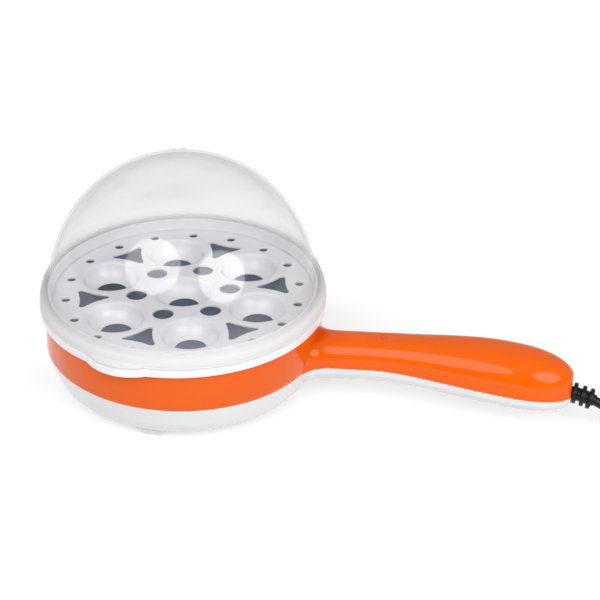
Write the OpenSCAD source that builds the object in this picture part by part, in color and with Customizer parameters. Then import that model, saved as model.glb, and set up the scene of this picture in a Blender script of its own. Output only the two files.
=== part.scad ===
// Electric egg cooker: a round heated pan with a long handle, a lift-out
// tray for seven eggs and a clear domed lid. Millimetres, +Z up. The origin
// is on the floor, under the middle of the appliance without its cord, and
// the handle points along +X.

/* [Overall] */
// Outer diameter of the tray's rim, the widest round part
rim_d = 186; // [176:1:230]
// Distance from the pan's axis to the end of the handle
handle_reach = 255; // [235:1:310]
// Height of the feet under the lower housing
foot_h = 3; // [2:0.5:6]
// Height of the lower housing from its flat bottom to the seam
lower_h = 27; // [24:1:36]
// Height of the upper housing from the seam to its top lip
upper_h = 27.6; // [24:1:36]
// Height of the lid above the tray's ledge
lid_h = 94.7; // [78:1:120]

/* [Housings] */
// Wall of both housings
wall = 2.2; // [1.6:0.1:3]
// How far the tray's rim stands out over the upper housing
rim_overhang = 2.9; // [2.6:0.1:5]
// Lean of the lower housing's side, in degrees
side_lean = 17; // [8:1:24]
// Radius of the lower housing's bottom edge
bottom_round = 17; // [12:1:20]
// Chamfer on the upper housing's top edge
top_chamfer = 2.4; // [1:0.2:2.6]
// Height of the locating tongue that rises inside the upper housing
tongue_h = 3; // [2:0.5:5]
// Radius of the circle that the feet stand on
foot_circle = 72; // [60:1:74]
// Width of a foot where it meets the housing
foot_w = 21; // [14:1:26]

/* [Handle] */
// Width of the handle's neck
neck_w = 30; // [26:1:36]
// Width of the handle at its widest
grip_w = 42.6; // [36:0.5:52]
// Height of the neck above the seam
neck_top = 16.8; // [14:0.2:20]
// Height of the grip above the seam
grip_top = 23.7; // [16:0.2:24]
// Depth of the neck below the seam
neck_bottom = 12.6; // [11:0.2:15]
// Depth of the grip below the seam
grip_bottom = 13.8; // [11:0.2:16]
// Radius where the handle's sides run into the pan
root_fillet = 16; // [10:1:22]
// Rise of the seam along the handle before it drops
seam_rise = 6; // [0:0.5:8]
// Drop of the seam that grows towards the handle's end
seam_drop = 12; // [0:0.5:14]
// How much lower the seam is at the root of the handle than on the far side
seam_dip = 3; // [0:0.1:4]

/* [Pan] */
// Thickness of the cooking pan's floor
pan_floor = 3; // [2:0.2:4]
// Wall of the cooking pan's side
pan_wall = 1.8; // [1.4:0.1:2.4]
// Depth of the pan from its rim to its cooking surface
pan_depth = 24; // [20:1:26]
// Radius of the cooking surface
pan_floor_r = 71; // [66:1:74]
// Thickness of the pan's rim
pan_rim_t = 1.5; // [1.2:0.1:2]
// Thickness of the seal under the pan's rim
seal_t = 1; // [0.6:0.1:1.5]
// Radius of the circle of the pan's screw bosses
boss_circle = 58; // [55:1:60]

/* [Tray] */
// Wall of the tray
tray_wall = 1.7; // [1.4:0.1:2.2]
// Radius of an egg cup at the tray's floor
cup_r = 17.7; // [15:0.1:19]
// Radius of the hole in the bottom of a cup
cup_hole_r = 10.2; // [7:0.1:11]
// Depth of a cup below the tray's floor
cup_depth = 11.4; // [8:0.1:14]
// Radius of the circle of the six outer cups
cup_circle = 52.4; // [50:0.2:54]
// Radius of the six round steam holes
steam_hole_r = 6.7; // [4:0.1:7]
// Radius of the small holes near the rim
rim_hole_r = 2.9; // [1.5:0.1:3.5]
// Distance from the middle to the tip of a three-pointed hole
star_r = 12.6; // [9:0.2:14]
// Radius of its tips
star_tip_r = 2.2; // [1:0.1:3]
// Height of the rib that the lid fits over
rib_h = 7.5; // [4:0.5:9]
// Direction of the cup pattern against the handle, in degrees
tray_turn = 21.8; // [0:0.1:60]
// How far the two lifting ears stand out from the rim
ear_out = 5.2; // [2:0.2:8]
// Width of the ears at the rim
ear_w = 41.6; // [24:0.4:50]

/* [Lid] */
// Wall of the lid
lid_wall = 1.6; // [1.2:0.1:2.4]
// Height of the flare where the lid's foot runs into the dome
flare_h = 23; // [16:1:30]
// How far the dome stands inside the lid's foot
flare_in = 5.4; // [3:0.2:9]
// Distance between the two steam vents
vent_gap = 6.6; // [6:0.2:14]
// Radius of the hole in a steam vent
vent_hole_r = 1; // [0.6:0.1:2]

/* [Electrics] */
// Diameter of the heating element's tube
element_d = 6.6; // [6:0.1:8]
// Radius of the heating element's ring
element_ring_r = 44; // [38:1:48]
// Diameter of the mains cord
cord_d = 6.2; // [5:0.1:7]
// Diameter of the strain relief's discs
relief_d = 13.4; // [12:0.2:16]
// Diameter of the thermostat's body
thermostat_d = 16; // [14:0.5:18]

/* [Hidden] */

// Clearances
seat_gap = 0.3;      // under and around pieces that lift out
slip_gap = 0.5;      // beside the tray's lip
tongue_gap = 0.2;    // between the tongue and the upper housing
screw_gap = 0.2;     // around a screw's shank in a plain hole
thread_gap = 0.05;   // around a screw's shank in its boss

// Radii and levels
rim_r = rim_d / 2;
body_r = rim_r - rim_overhang;
pan_x = (rim_r - handle_reach) / 2;
seam_z = foot_h + lower_h;
lip_z = seam_z + upper_h;
pan_rim_z = lip_z + seal_t;
pan_rim_top = pan_rim_z + pan_rim_t;
pan_rim_r = body_r - 1.1;
pan_top_r = pan_rim_r - 6.2;
cook_z = pan_rim_top - pan_depth;
pan_under = cook_z - pan_floor;
tray_z = pan_rim_top + seat_gap;
tray_top = tray_z + tray_wall;
lip_wall = 1.6;
lip_in_r = rim_r - lip_wall;
lip_drop = 6;
ledge_z = tray_top - 2.4;
ledge_t = 1.7;
rib_out_r = rim_r - 5.8;
lid_z = ledge_z + seat_gap;
lid_r = rim_r - 0.2;
dome_r = lid_r - flare_in;
lip_in = 5;

module at_pan() translate([pan_x, 0, 0]) children();
module around(r, angles) for (a = angles) rotate(a) translate([r, 0, 0]) children();
module ring(r_in, r_out, z0, z1)
    rotate_extrude($fn = 96) translate([r_in, z0]) square([r_out - r_in, z1 - z0]);

// Points of an arc about [cx, cy], from angle a0 to a1
function arc(cx, cy, r, a0, a1, n) =
    [for (i = [0:n]) let (a = a0 + (a1 - a0) * i / n) [cx + r * cos(a), cy + r * sin(a)]];
function reversed(v) = [for (i = [len(v) - 1:-1:0]) v[i]];
function bezier(p, n) = [for (i = [0:n]) let (t = i / n, u = 1 - t)
    u * u * u * p[0] + 3 * u * u * t * p[1] + 3 * u * t * t * p[2] + t * t * t * p[3]];
function smooth(t) = let (c = max(0, min(1, t))) c * c * (3 - 2 * c);

// ---- handle shape ----
neck_half = neck_w / 2;
grip_half = grip_w / 2;
fillet_y = neck_half + root_fillet;
fillet_x = sqrt(pow(body_r + root_fillet, 2) - pow(fillet_y, 2));
root_x = body_r * fillet_x / (body_r + root_fillet);
grip_from = body_r + 40;
grip_to = handle_reach - 43;
top_swell_from = body_r + 34;
dip_length = 55;
top_cap_power = 0.5;
bottom_cap_power = 0.65;
cap_from = handle_reach - 40;
cap_to = handle_reach + 2;
section_power = 2.4;
relief_neck_r = 4.2;
relief_hole_r = relief_neck_r + 0.4;

// The seam is a tilted plane round the body and a curve along the handle
function seam_plane(x) = seam_z - seam_dip * (x + body_r) / (2 * body_r);
function seam_at(x) = let (u = (x - body_r) / (handle_reach - body_r))
    x < body_r ? seam_plane(x)
    : seam_z + seam_rise * u - seam_drop * u * u - seam_dip * (1 - smooth((x - body_r) / dip_length));
function end_cap(x) = let (t = max(0, (x - cap_from) / (cap_to - cap_from))) sqrt(1 - pow(t, 2.4));
function flare_at(x) = fillet_y - sqrt(pow(root_fillet, 2) - pow(fillet_x - max(x, root_x), 2));
function half_width(x) = x < fillet_x ? flare_at(x)
    : (neck_half + (grip_half - neck_half) * smooth((x - grip_from) / (grip_to - grip_from)))
      * end_cap(x);
function top_at(x) = (neck_top + (grip_top - neck_top)
    * smooth((x - top_swell_from) / (grip_to - top_swell_from))) * pow(end_cap(x), top_cap_power);
function bottom_at(x) = (neck_bottom + (grip_bottom - neck_bottom)
    * smooth((x - grip_from) / (grip_to - grip_from))) * pow(end_cap(x), bottom_cap_power);

arc_steps = 12;
function rounded(a) = pow(abs(a), 2 / section_power) * sign(a);
// Half of a handle section at x: up is 1 above the seam and -1 below it
function half_section(x, w, h, up) = [for (j = [0:arc_steps]) let (a = 180 * j / arc_steps)
    [x, -w * rounded(cos(a)), seam_at(x) + up * h * rounded(sin(a))]];
function half_circle(x, r, up) = [for (j = [0:arc_steps]) let (a = 180 * j / arc_steps)
    [x, -r * cos(a), seam_at(x) + up * r * sin(a)]];
function section_height(x, up) = up > 0 ? top_at(x) : bottom_at(x);

// Height of the shell's inside above or below the seam, y beside the middle
function inside_at(x, y, up) = (section_height(x, up) - wall)
    * pow(1 - pow(abs(y) / (half_width(x) - wall), section_power), 1 / section_power);

handle_start = body_r - 9;
handle_steps = 20;
inner_end = handle_reach - wall;
stations = concat(
    [for (i = [0:handle_steps]) let (t = i / handle_steps)
        handle_start + (inner_end - handle_start) * (1 - pow(1 - t, 1.35))],
    [inner_end + 0.2, handle_reach]);

// Half shell of the handle, a closed section swept along the stations
module handle_half(up) {
    count = len(stations);
    size = 2 * (arc_steps + 1);
    points = [for (i = [0:count - 1]) let (x = stations[i])
        each concat(
            half_section(x, half_width(x), section_height(x, up), up),
            reversed(i > count - 3 ? half_circle(x, relief_hole_r, up)
                : half_section(x, half_width(x) - wall, section_height(x, up) - wall, up)))];
    sides = [for (i = [0:count - 2], j = [0:size - 1]) let (k = (j + 1) % size)
        [i * size + j, i * size + k, (i + 1) * size + k, (i + 1) * size + j]];
    ends = [for (j = [0:arc_steps - 1]) let (m = size - 1 - j, last = (count - 1) * size)
        each [[j + 1, j, m, m - 1], [last + j, last + j + 1, last + m - 1, last + m]]];
    faces = concat(sides, ends);
    polyhedron(points, up > 0 ? faces : [for (f = faces) reversed(f)], convexity = 6);
}

// ---- lower housing ----
lean_cx = body_r - (bottom_round + (lower_h - bottom_round) * sin(side_lean)) / cos(side_lean);
function bowl(inset) = concat(
    [[0, foot_h + inset]],
    arc(lean_cx, foot_h + bottom_round, bottom_round - inset, -90, -side_lean, 8),
    [[body_r - inset / cos(side_lean), seam_z]]);
tongue_r = body_r - wall - tongue_gap;
tongue_t = 1.3;
boss_angles = [60, 180, 300];
foot_angles = [0, 90, 180, 270];
boss_r = 4.5;
boss_bottom = foot_h + 14.8;
shield_t = 0.8;
post_top = boss_bottom - shield_t;
post_r = 5.6;
screw_r = 1.9;
head_r = 3.6;
head_h = 2.4;
base_head_z = foot_h + 8;

// Screw towers of the handle, from the pan's axis: along it and beside it
towers = [[body_r + 18, 0], [handle_reach - 62, 7.5]];
tower_r = 4.2;
handle_screw_r = 1.4;
handle_head_r = 2.8;
handle_head_h = 1.8;
tower_seat = 4;
tower_reach = 7;

passage_y = 18;
passage_up = 8;
passage_down = 7;

// Everything on one side of the body's seam
module beyond_seam(up) rotate([90, 0, 0]) linear_extrude(2 * rim_d, center = true) polygon([
    [-rim_d, seam_plane(-rim_d)], [rim_d, seam_plane(rim_d)], [rim_d, up * rim_d], [-rim_d, up * rim_d]]);

module lower_housing() color("white") at_pan() {
    difference() {
        union() {
            difference() {
                rotate_extrude($fn = 120)
                    polygon(concat(bowl(0), reversed(bowl(wall))));
                beyond_seam(1);
            }
            ring(tongue_r - tongue_t, tongue_r, seam_z - 4, seam_z + tongue_h);
            difference() {
                handle_half(-1);
                rotate_extrude($fn = 120)
                    polygon(concat(bowl(wall / 2), [[0, seam_z]]));
            }
            around(boss_circle, boss_angles)
                translate([0, 0, foot_h + wall / 2])
                    cylinder(r = post_r, h = post_top - foot_h - wall / 2, $fn = 48);
            around(foot_circle, foot_angles) foot();
            for (t = towers) translate([t[0], t[1], seam_at(t[0]) - inside_at(t[0], t[1], -1) - 1])
                cylinder(r = tower_r, h = inside_at(t[0], t[1], -1) + 0.85, $fn = 32);
            saddle();
        }
        around(boss_circle, boss_angles) {
            translate([0, 0, -1]) cylinder(r = head_r + 0.4, h = base_head_z + head_h + 1, $fn = 32);
            cylinder(r = screw_r + screw_gap, h = post_top + 1, $fn = 32);
        }
        for (t = towers) translate([t[0], t[1], 0]) {
            cylinder(r = handle_head_r + 0.2, h = seam_at(t[0]) - tower_seat, $fn = 32);
            cylinder(r = handle_screw_r + screw_gap, h = seam_at(t[0]) + 1, $fn = 32);
        }
        for (s = [-1, 1]) translate([clamp_x, clamp_screw_y * s, seam_at(clamp_x) - 6])
            cylinder(r = clamp_screw_r + thread_gap, h = 7, $fn = 24);
        translate([body_r - 12, -passage_y / 2, seam_z - passage_down])
            cube([17, passage_y, passage_down + tongue_h + 1]);
    }
}

// A moulded foot: a low block whose ends slope inwards
module foot() {
    foot_bottom_w = foot_w - 2 * foot_h - 3;
    depth = 8;
    translate([-depth / 2, 0, 0]) rotate([90, 0, 90]) linear_extrude(depth)
            polygon([[-foot_bottom_w / 2, 0], [foot_bottom_w / 2, 0],
                     [foot_w / 2, foot_h + 1.6], [-foot_w / 2, foot_h + 1.6]]);
}

// Saddle inside the handle that the cord is clamped on
module saddle() difference() {
    translate([clamp_x - clamp_w / 2, -clamp_l / 2, seam_at(clamp_x) - inside_at(clamp_x, clamp_l / 2, -1) - 0.6])
        cube([clamp_w, clamp_l, inside_at(clamp_x, clamp_l / 2, -1) + 0.3]);
    translate([clamp_x - 10, 0, seam_at(clamp_x)]) rotate([0, 90, 0])
        cylinder(d = cord_bore, h = 20, $fn = 32);
}

// ---- upper housing ----
module upper_housing() color("darkorange") at_pan() {
    in_r = body_r - wall;
    skirt = seam_dip + 1;
    difference() {
        union() {
            difference() {
                rotate_extrude($fn = 120) polygon([
                    [body_r - skirt * tan(side_lean), seam_z - skirt], [body_r, seam_z],
                    [body_r, lip_z - top_chamfer], [body_r - top_chamfer, lip_z],
                    [body_r - lip_in, lip_z], [body_r - lip_in, lip_z - wall],
                    [in_r, lip_z - wall], [in_r, seam_z - skirt]]);
                beyond_seam(-1);
            }
            difference() {
                handle_half(1);
                translate([0, 0, seam_z - 5]) cylinder(r = in_r + wall / 2, h = 60, $fn = 120);
            }
            for (t = towers) translate([t[0], t[1], seam_at(t[0]) + 0.1])
                cylinder(r = tower_r, h = inside_at(t[0], t[1], 1) + 0.8, $fn = 32);
        }
        for (t = towers) translate([t[0], t[1], seam_at(t[0]) - 1])
            cylinder(r = handle_screw_r + thread_gap, h = tower_reach + 2, $fn = 32);
        translate([body_r - 12, -passage_y / 2, seam_z - passage_down])
            cube([17, passage_y, passage_down + passage_up]);
        translate([lamp_x, 0, lens_seat - 8]) cylinder(r = lens_r + 0.15, h = 20, $fn = 48);
        translate([lamp_x, 0, dish_floor + dish_sphere_r]) sphere(r = dish_sphere_r, $fn = 96);
    }
}

// ---- indicator ----
lamp_x = body_r + 43.4;
lens_r = 3;
lens_h = 2.3;
dish_r = 8;
dish_depth = 1;
dish_sphere_r = (pow(dish_r, 2) + pow(dish_depth, 2)) / (2 * dish_depth);
dish_floor = seam_at(lamp_x) + top_at(lamp_x) - dish_depth;
lens_top = dish_floor + 0.4;
lens_seat = lens_top - lens_h;

module indicator_lens() color("orangered") at_pan() translate([lamp_x, 0, lens_seat]) {
    cylinder(r = lens_r, h = lens_h, $fn = 48);
    translate([0, 0, -1]) cylinder(r = lens_r + 1, h = 1.2, $fn = 48);
}

module neon_lamp() color("salmon") at_pan() translate([lamp_x, 0, lens_seat - 1.3]) {
    mirror([0, 0, 1]) cylinder(r = 2, h = 5.5, $fn = 32);
    for (s = [-1, 1]) translate([0, 0.9 * s, -8.5]) cylinder(r = 0.35, h = 3.2, $fn = 16);
}

// ---- pan ----
ridge_in = element_ring_r - 6;
ridge_out = element_ring_r + 6;
element_r = element_d / 2;
element_z = pan_under - element_r - 0.6;
ridge_h = element_r + 2.2;
bracket_boss = 18;
fuse_boss = 27;

module cooking_pan() color("dimgray") at_pan() difference() {
    union() {
        rotate_extrude($fn = 120) polygon([
            [0, pan_under], [pan_floor_r, pan_under], [pan_floor_r + pan_wall + 1, pan_under + 2.5],
            [pan_top_r + pan_wall, pan_rim_z - 1], [pan_top_r + pan_wall, pan_rim_z],
            [pan_rim_r, pan_rim_z], [pan_rim_r, pan_rim_top], [pan_top_r + 0.8, pan_rim_top],
            [pan_top_r, pan_rim_top - 0.8], [pan_floor_r, cook_z + 2],
            [pan_floor_r - 2, cook_z], [0, cook_z]]);
        ring(ridge_in, ridge_out, pan_under - ridge_h, pan_under + 1);
        around(boss_circle, boss_angles)
            translate([0, 0, boss_bottom]) cylinder(r = boss_r, h = pan_under - boss_bottom + 1, $fn = 48);
        around(bracket_boss, [90, 270])
            translate([0, 0, pan_under - 5]) cylinder(r = 3.2, h = 6, $fn = 32);
        around(fuse_boss, [180])
            translate([0, 0, pan_under - 5]) cylinder(r = 3, h = 6, $fn = 32);
    }
    rotate_extrude($fn = 96) translate([element_ring_r, element_z]) circle(r = element_r + 0.15, $fn = 40);
    ring(element_ring_r - element_r - 0.15, element_ring_r + element_r + 0.15,
         pan_under - ridge_h - 1, element_z);
    around(boss_circle, boss_angles)
        translate([0, 0, boss_bottom - 1]) cylinder(r = screw_r + thread_gap, h = 12, $fn = 32);
    around(bracket_boss, [90, 270])
        translate([0, 0, pan_under - 6]) cylinder(r = 1.4 + thread_gap, h = 5.6, $fn = 32);
    around(fuse_boss, [180])
        translate([0, 0, pan_under - 6]) cylinder(r = 1.4 + thread_gap, h = 5.6, $fn = 32);
}

module pan_seal() color("gainsboro") at_pan()
    ring(body_r - lip_in + 0.4, pan_rim_r - 0.6, lip_z, pan_rim_z);

// ---- heating ----
element_gap_angle = 22;
leg_bottom = foot_h + 14;

module heating_element() color("silver") at_pan() {
    rotate([0, 0, element_gap_angle])
        rotate_extrude(angle = 360 - 2 * element_gap_angle, $fn = 96)
            translate([element_ring_r, element_z]) circle(r = element_r, $fn = 40);
    for (s = [-1, 1]) rotate(s * element_gap_angle) translate([element_ring_r, 0, 0]) {
        translate([0, 0, element_z]) sphere(r = element_r - 0.02, $fn = 32);
        translate([0, 0, leg_bottom + 4]) cylinder(r = element_r - 0.3, h = element_z - leg_bottom - 4, $fn = 32);
    }
}

module element_terminals() color("ivory") at_pan()
    for (s = [-1, 1]) rotate(s * element_gap_angle) translate([element_ring_r, 0, 0]) {
        translate([0, 0, leg_bottom + 1]) cylinder(r = 2.6, h = 3, $fn = 32);
        translate([-0.4, -2.4, leg_bottom - 7]) cube([0.8, 4.8, 8]);
    }

module heat_shield() color("lightgray") at_pan() difference() {
    union() {
        translate([0, 0, post_top]) cylinder(r = 52, h = shield_t, $fn = 96);
        around(boss_circle, boss_angles)
            translate([0, 0, post_top]) cylinder(r = post_r, h = shield_t, $fn = 48);
        around(boss_circle, boss_angles)
            translate([-9, -post_r, post_top]) cube([9, 2 * post_r, shield_t]);
    }
    around(boss_circle, boss_angles) cylinder(r = screw_r + screw_gap, h = 60, $fn = 32);
    cylinder(r = thermostat_d / 2 + 4, h = 60, $fn = 64);
    for (s = [-1, 1]) rotate(s * element_gap_angle)
        translate([element_ring_r, 0, 0]) cylinder(r = element_r + 1.2, h = 60, $fn = 32);
    translate([-fuse_boss - 8, -15, 0]) cube([24, 30, 60]);
}

// ---- thermostat and fuse ----
thermostat_h = 10;
blade_x = 5;
blade_bottom = foot_h + 9;
flange_t = 0.8;
bracket_t = 1;
bracket_z = pan_under - 5 - bracket_t;

module thermostat() color("linen") at_pan() {
    translate([0, 0, bracket_z + bracket_t]) cylinder(d = thermostat_d + 3, h = flange_t, $fn = 64);
    translate([0, 0, pan_under - thermostat_h])
        cylinder(d = thermostat_d, h = thermostat_h, $fn = 64);
    for (s = [-1, 1]) translate([blade_x * s - 0.4, -3.1, blade_bottom])
        cube([0.8, 6.2, pan_under - thermostat_h - blade_bottom + 0.5]);
}

module thermostat_bracket() color("silver") at_pan() difference() {
    translate([-thermostat_d / 2 - 2.5, -bracket_boss - 4, bracket_z])
        cube([thermostat_d + 5, 2 * bracket_boss + 8, bracket_t]);
    cylinder(d = thermostat_d + 0.2, h = 60, $fn = 64);
    around(bracket_boss, [90, 270]) cylinder(r = 1.4 + screw_gap, h = 60, $fn = 32);
}

module small_screw(head_z, length) {
    cylinder(r = 1.4, h = length, $fn = 32);
    mirror([0, 0, 1]) difference() {
        cylinder(r = 2.6, h = head_z, $fn = 32);
        translate([-0.4, -3, head_z - 0.9]) cube([0.8, 6, 1]);
    }
}

module bracket_screws() color("silver") at_pan()
    around(bracket_boss, [90, 270]) translate([0, 0, bracket_z]) small_screw(1.8, 5.6);

fuse_r = 2.1;
fuse_z = pan_under - fuse_r - 0.1;
clip_t = 0.8;

module thermal_fuse() color("tan") at_pan() translate([-fuse_boss, 0, fuse_z]) {
    translate([6.4, 0, 0]) rotate([90, 0, 0]) cylinder(r = fuse_r, h = 12, center = true, $fn = 32);
    translate([6.4, 0, 0]) rotate([90, 0, 0]) cylinder(r = 0.5, h = 20, center = true, $fn = 16);
}

module fuse_clip() color("silver") at_pan() translate([-fuse_boss, 0, 0]) {
    difference() {
        translate([-3.4, -3.4, pan_under - 5 - clip_t]) cube([13, 6.8, clip_t]);
        cylinder(r = 1.4 + screw_gap, h = 60, $fn = 32);
    }
    translate([0, 0, pan_under - 5 - clip_t]) small_screw(1.8, 5.4);
    translate([8.8, -3.4, pan_under - 5]) cube([0.8, 6.8, 2.4]);
}

// ---- screws ----
module base_screws() color("silver") at_pan() around(boss_circle, boss_angles)
    translate([0, 0, base_head_z]) {
        difference() {
            cylinder(r = head_r, h = head_h, $fn = 40);
            for (a = [0, 90]) rotate(a) translate([-2.2, -0.45, -0.01]) cube([4.4, 0.9, 1.4]);
        }
        translate([0, 0, head_h]) cylinder(r = screw_r, h = boss_bottom + 10 - base_head_z - head_h, $fn = 32);
    }

module handle_screws() color("silver") at_pan() for (t = towers)
    translate([t[0], t[1], seam_at(t[0]) - tower_seat - handle_head_h]) {
        difference() {
            cylinder(r = handle_head_r, h = handle_head_h, $fn = 32);
            for (a = [0, 90]) rotate(a) translate([-1.7, -0.35, -0.01]) cube([3.4, 0.7, 1]);
        }
        translate([0, 0, handle_head_h]) cylinder(r = handle_screw_r, h = tower_seat + tower_reach, $fn = 32);
    }

// ---- tray ----
cup_angles = [for (k = [0:5]) tray_turn + 30 + 60 * k];
hole_angles = [for (k = [0:5]) tray_turn + 60 * k];
steam_circle = 30.3;
star_circle = 60.6;
rim_hole_circle = 76;
ear_turn = tray_turn + 57.8;
ear_angles = [ear_turn, ear_turn + 180];
ear_rise = ear_out + rim_r - sqrt(pow(rim_r, 2) - pow(ear_w / 2, 2));
ear_r = (pow(ear_w / 2, 2) + pow(ear_rise, 2)) / (2 * ear_rise);

// Inside of a cup, an arc of an ellipse from its hole to the floor
function cup_profile(grow) = let (deep = cup_depth / sqrt(1 - pow(cup_hole_r / cup_r, 2)))
    [for (i = [0:8]) let (d = cup_depth * (8 - i) / 8, r = cup_r * sqrt(1 - pow(d / deep, 2)))
        [r + grow, tray_top - d]];

module cup() rotate_extrude($fn = 64) difference() {
    polygon(concat(cup_profile(0), reversed(cup_profile(tray_wall))));
    translate([0, tray_top]) square([50, 10]);
}

// Outline of an ear, round in plan
module ear_plan(grow) difference() {
    translate([rim_r + ear_out - ear_r, 0]) circle(r = ear_r - grow, $fn = 96);
    circle(r = body_r, $fn = 120);
}

// A three-pointed hole with round tips, whose sides curve inwards
star_sag = 1;
function polar(r, a) = [r * cos(a), r * sin(a)];
function star_tip(a) = polar(star_r - star_tip_r, a);
module star_plan() polygon([for (k = [0:2]) let (
    a = 180 + 120 * k,
    p = star_tip(a) + polar(star_tip_r, a + 60),
    q = star_tip(a + 120) + polar(star_tip_r, a + 60))
    each concat(
        [for (i = [-3:3]) star_tip(a) + polar(star_tip_r, a + 20 * i)],
        [for (i = [1:6]) let (t = i / 7) p + (q - p) * t - polar(star_sag * 4 * t * (1 - t), a + 60)])]);

module egg_tray() color("whitesmoke") at_pan() difference() {
    union() {
        difference() {
            rotate_extrude($fn = 120) polygon([
                [0, tray_z], [pan_rim_r + slip_gap, tray_z], [pan_rim_r + slip_gap, ledge_z - ledge_t],
                [lip_in_r, ledge_z - ledge_t], [lip_in_r, ledge_z + 0.8 - lip_drop],
                [rim_r, ledge_z + 0.8 - lip_drop], [rim_r, ledge_z], [rim_r - 2.1, ledge_z],
                [rim_r - 2.1, tray_top], [rib_out_r, tray_top], [rib_out_r, tray_top + rib_h],
                [rib_out_r - lip_wall, tray_top + rib_h], [rib_out_r - lip_wall, tray_top], [0, tray_top]]);
            translate([0, 0, tray_z - 1]) cylinder(r = cup_r + 0.6, h = 5, $fn = 64);
            around(cup_circle, cup_angles)
                translate([0, 0, tray_z - 1]) cylinder(r = cup_r + 0.6, h = 5, $fn = 64);
        }
        cup();
        around(cup_circle, cup_angles) cup();
        for (a = ear_angles) rotate(a) translate([0, 0, ledge_z + 0.8 - lip_drop]) difference() {
            linear_extrude(lip_drop - 0.8) ear_plan(0);
            translate([0, 0, -1]) linear_extrude(lip_drop - 0.8 - ledge_t + 1) ear_plan(lip_wall);
            translate([0, 0, -2]) cylinder(r = lip_in_r, h = lip_drop - 0.8 - ledge_t + 2, $fn = 120);
        }
    }
    around(steam_circle, hole_angles)
        translate([0, 0, tray_z - 1]) cylinder(r = steam_hole_r, h = 5, $fn = 48);
    around(star_circle, hole_angles)
        translate([0, 0, tray_z - 1]) linear_extrude(5) star_plan();
    around(rim_hole_circle, [for (k = [0:17]) tray_turn + 20 * k])
        translate([0, 0, tray_z - 1]) cylinder(r = rim_hole_r, h = 5, $fn = 24);
}

// ---- lid ----
dome_power = 2.08;
dome_round = 2 / dome_power;
dome_base = lid_z - 1;
dome_h = lid_h + 1 - seat_gap;
function dome_r_at(z, w) = (dome_r + 0.25 - w)
    * pow(1 - pow((z - dome_base) / (dome_h - w), dome_power), 1 / dome_power);
flare_z = lid_z + flare_h;
function lid_flare(w) = bezier([
    [lid_r - w, lid_z], [lid_r - w, lid_z + 0.52 * flare_h],
    [lid_r - w - 6, lid_z + 0.6 * flare_h], [dome_r_at(flare_z, w), flare_z]], 12);
function lid_dome(w) = let (from = asin(pow((flare_z - dome_base) / (dome_h - w), dome_power / 2)))
    [for (i = [1:16]) let (a = from + (90 - from) * i / 16)
        [(dome_r + 0.25 - w) * pow(cos(a), dome_round), dome_base + (dome_h - w) * pow(sin(a), dome_round)]];
vent_angle = 109;
vent_out = 42;
vent_r = 2.6;
vent_h = 0.8;
vent_side = vent_out / dome_r;
vent_up = pow(1 - pow(vent_side, dome_power), 1 / dome_power);
vent_lean = atan2(pow(vent_side, dome_power - 1) / dome_r, pow(vent_up, dome_power - 1) / dome_h);

// Places its children on the dome, with z along the dome's own outward direction
module on_vents() rotate(vent_angle) translate([vent_out, 0, dome_base + dome_h * vent_up])
    rotate([0, vent_lean, 0]) for (s = [-1, 1]) translate([0, s * vent_gap / 2, 0]) children();

module lid() color([0.9, 0.92, 0.95, 0.5]) at_pan() difference() {
    union() {
        rotate_extrude($fn = 120)
            polygon(concat(lid_flare(0), lid_dome(0), reversed(lid_dome(lid_wall)), reversed(lid_flare(lid_wall))));
        on_vents() translate([0, 0, -1]) cylinder(r = vent_r, h = vent_h + 1, $fn = 32);
        for (a = ear_angles) rotate(a) translate([0, 0, lid_z]) difference() {
            linear_extrude(lid_wall) ear_plan(0.4);
            translate([0, 0, -1]) cylinder(r = lid_r - lid_wall / 2, h = 5, $fn = 120);
        }
    }
    on_vents() translate([0, 0, -8]) cylinder(r = vent_hole_r, h = 20, $fn = 24);
}

// ---- tubes swept along routes ----
function unit(v) = v / max(norm(v), 0.000001);
function smoothed(p, n) = [for (i = [0:len(p) - 2], k = [0:n - 1]) let (
    t = k / n,
    a = p[max(i - 1, 0)], b = p[i], c = p[i + 1], d = p[min(i + 2, len(p) - 1)])
    0.5 * (2 * b + (c - a) * t + (2 * a - 5 * b + 4 * c - d) * t * t
           + (3 * b - a - 3 * c + d) * t * t * t)];
function path(p, n) = concat(smoothed(p, n), [p[len(p) - 1]]);
function heading(p, i) = unit(p[min(i + 1, len(p) - 1)] - p[max(i - 1, 0)]);
function frames(p, i, side) = let (h = heading(p, i), s = unit(side - h * (side * h)))
    i == len(p) - 1 ? [s] : concat([s], frames(p, i + 1, s));

// A round tube along the points p
module tube(p, r, sides) {
    side0 = abs(heading(p, 0)[2]) > 0.9 ? [1, 0, 0] : [0, 0, 1];
    s = frames(p, 0, side0);
    n = len(p);
    points = [for (i = [0:n - 1]) let (h = heading(p, i), u = s[i], v = cross(h, u))
        for (k = [0:sides - 1]) let (a = 360 * (k + 0.5) / sides)
            p[i] + r * (u * cos(a) + v * sin(a))];
    faces = concat(
        [for (i = [0:n - 2], k = [0:sides - 1]) let (m = (k + 1) % sides)
            [i * sides + k, (i + 1) * sides + k, (i + 1) * sides + m, i * sides + m]],
        [[for (k = [0:sides - 1]) k], [for (k = [sides - 1:-1:0]) (n - 1) * sides + k]]);
    polyhedron(points, faces, convexity = 8);
}

// ---- handle electrics ----
block_x = towers[0][0] + 0.65 * (towers[1][0] - towers[0][0]);
block_l = 24;
block_w = 14;
block_h = 9;
block_z = seam_at(block_x) - inside_at(block_x - block_l / 2, block_w / 2, -1) + 0.3;
clamp_x = handle_reach - 38;
clamp_w = 8;
clamp_l = 24;
clamp_screw_y = 8.5;
clamp_screw_r = 1.4;
inner_cord_start = block_x + block_l / 2;

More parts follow.
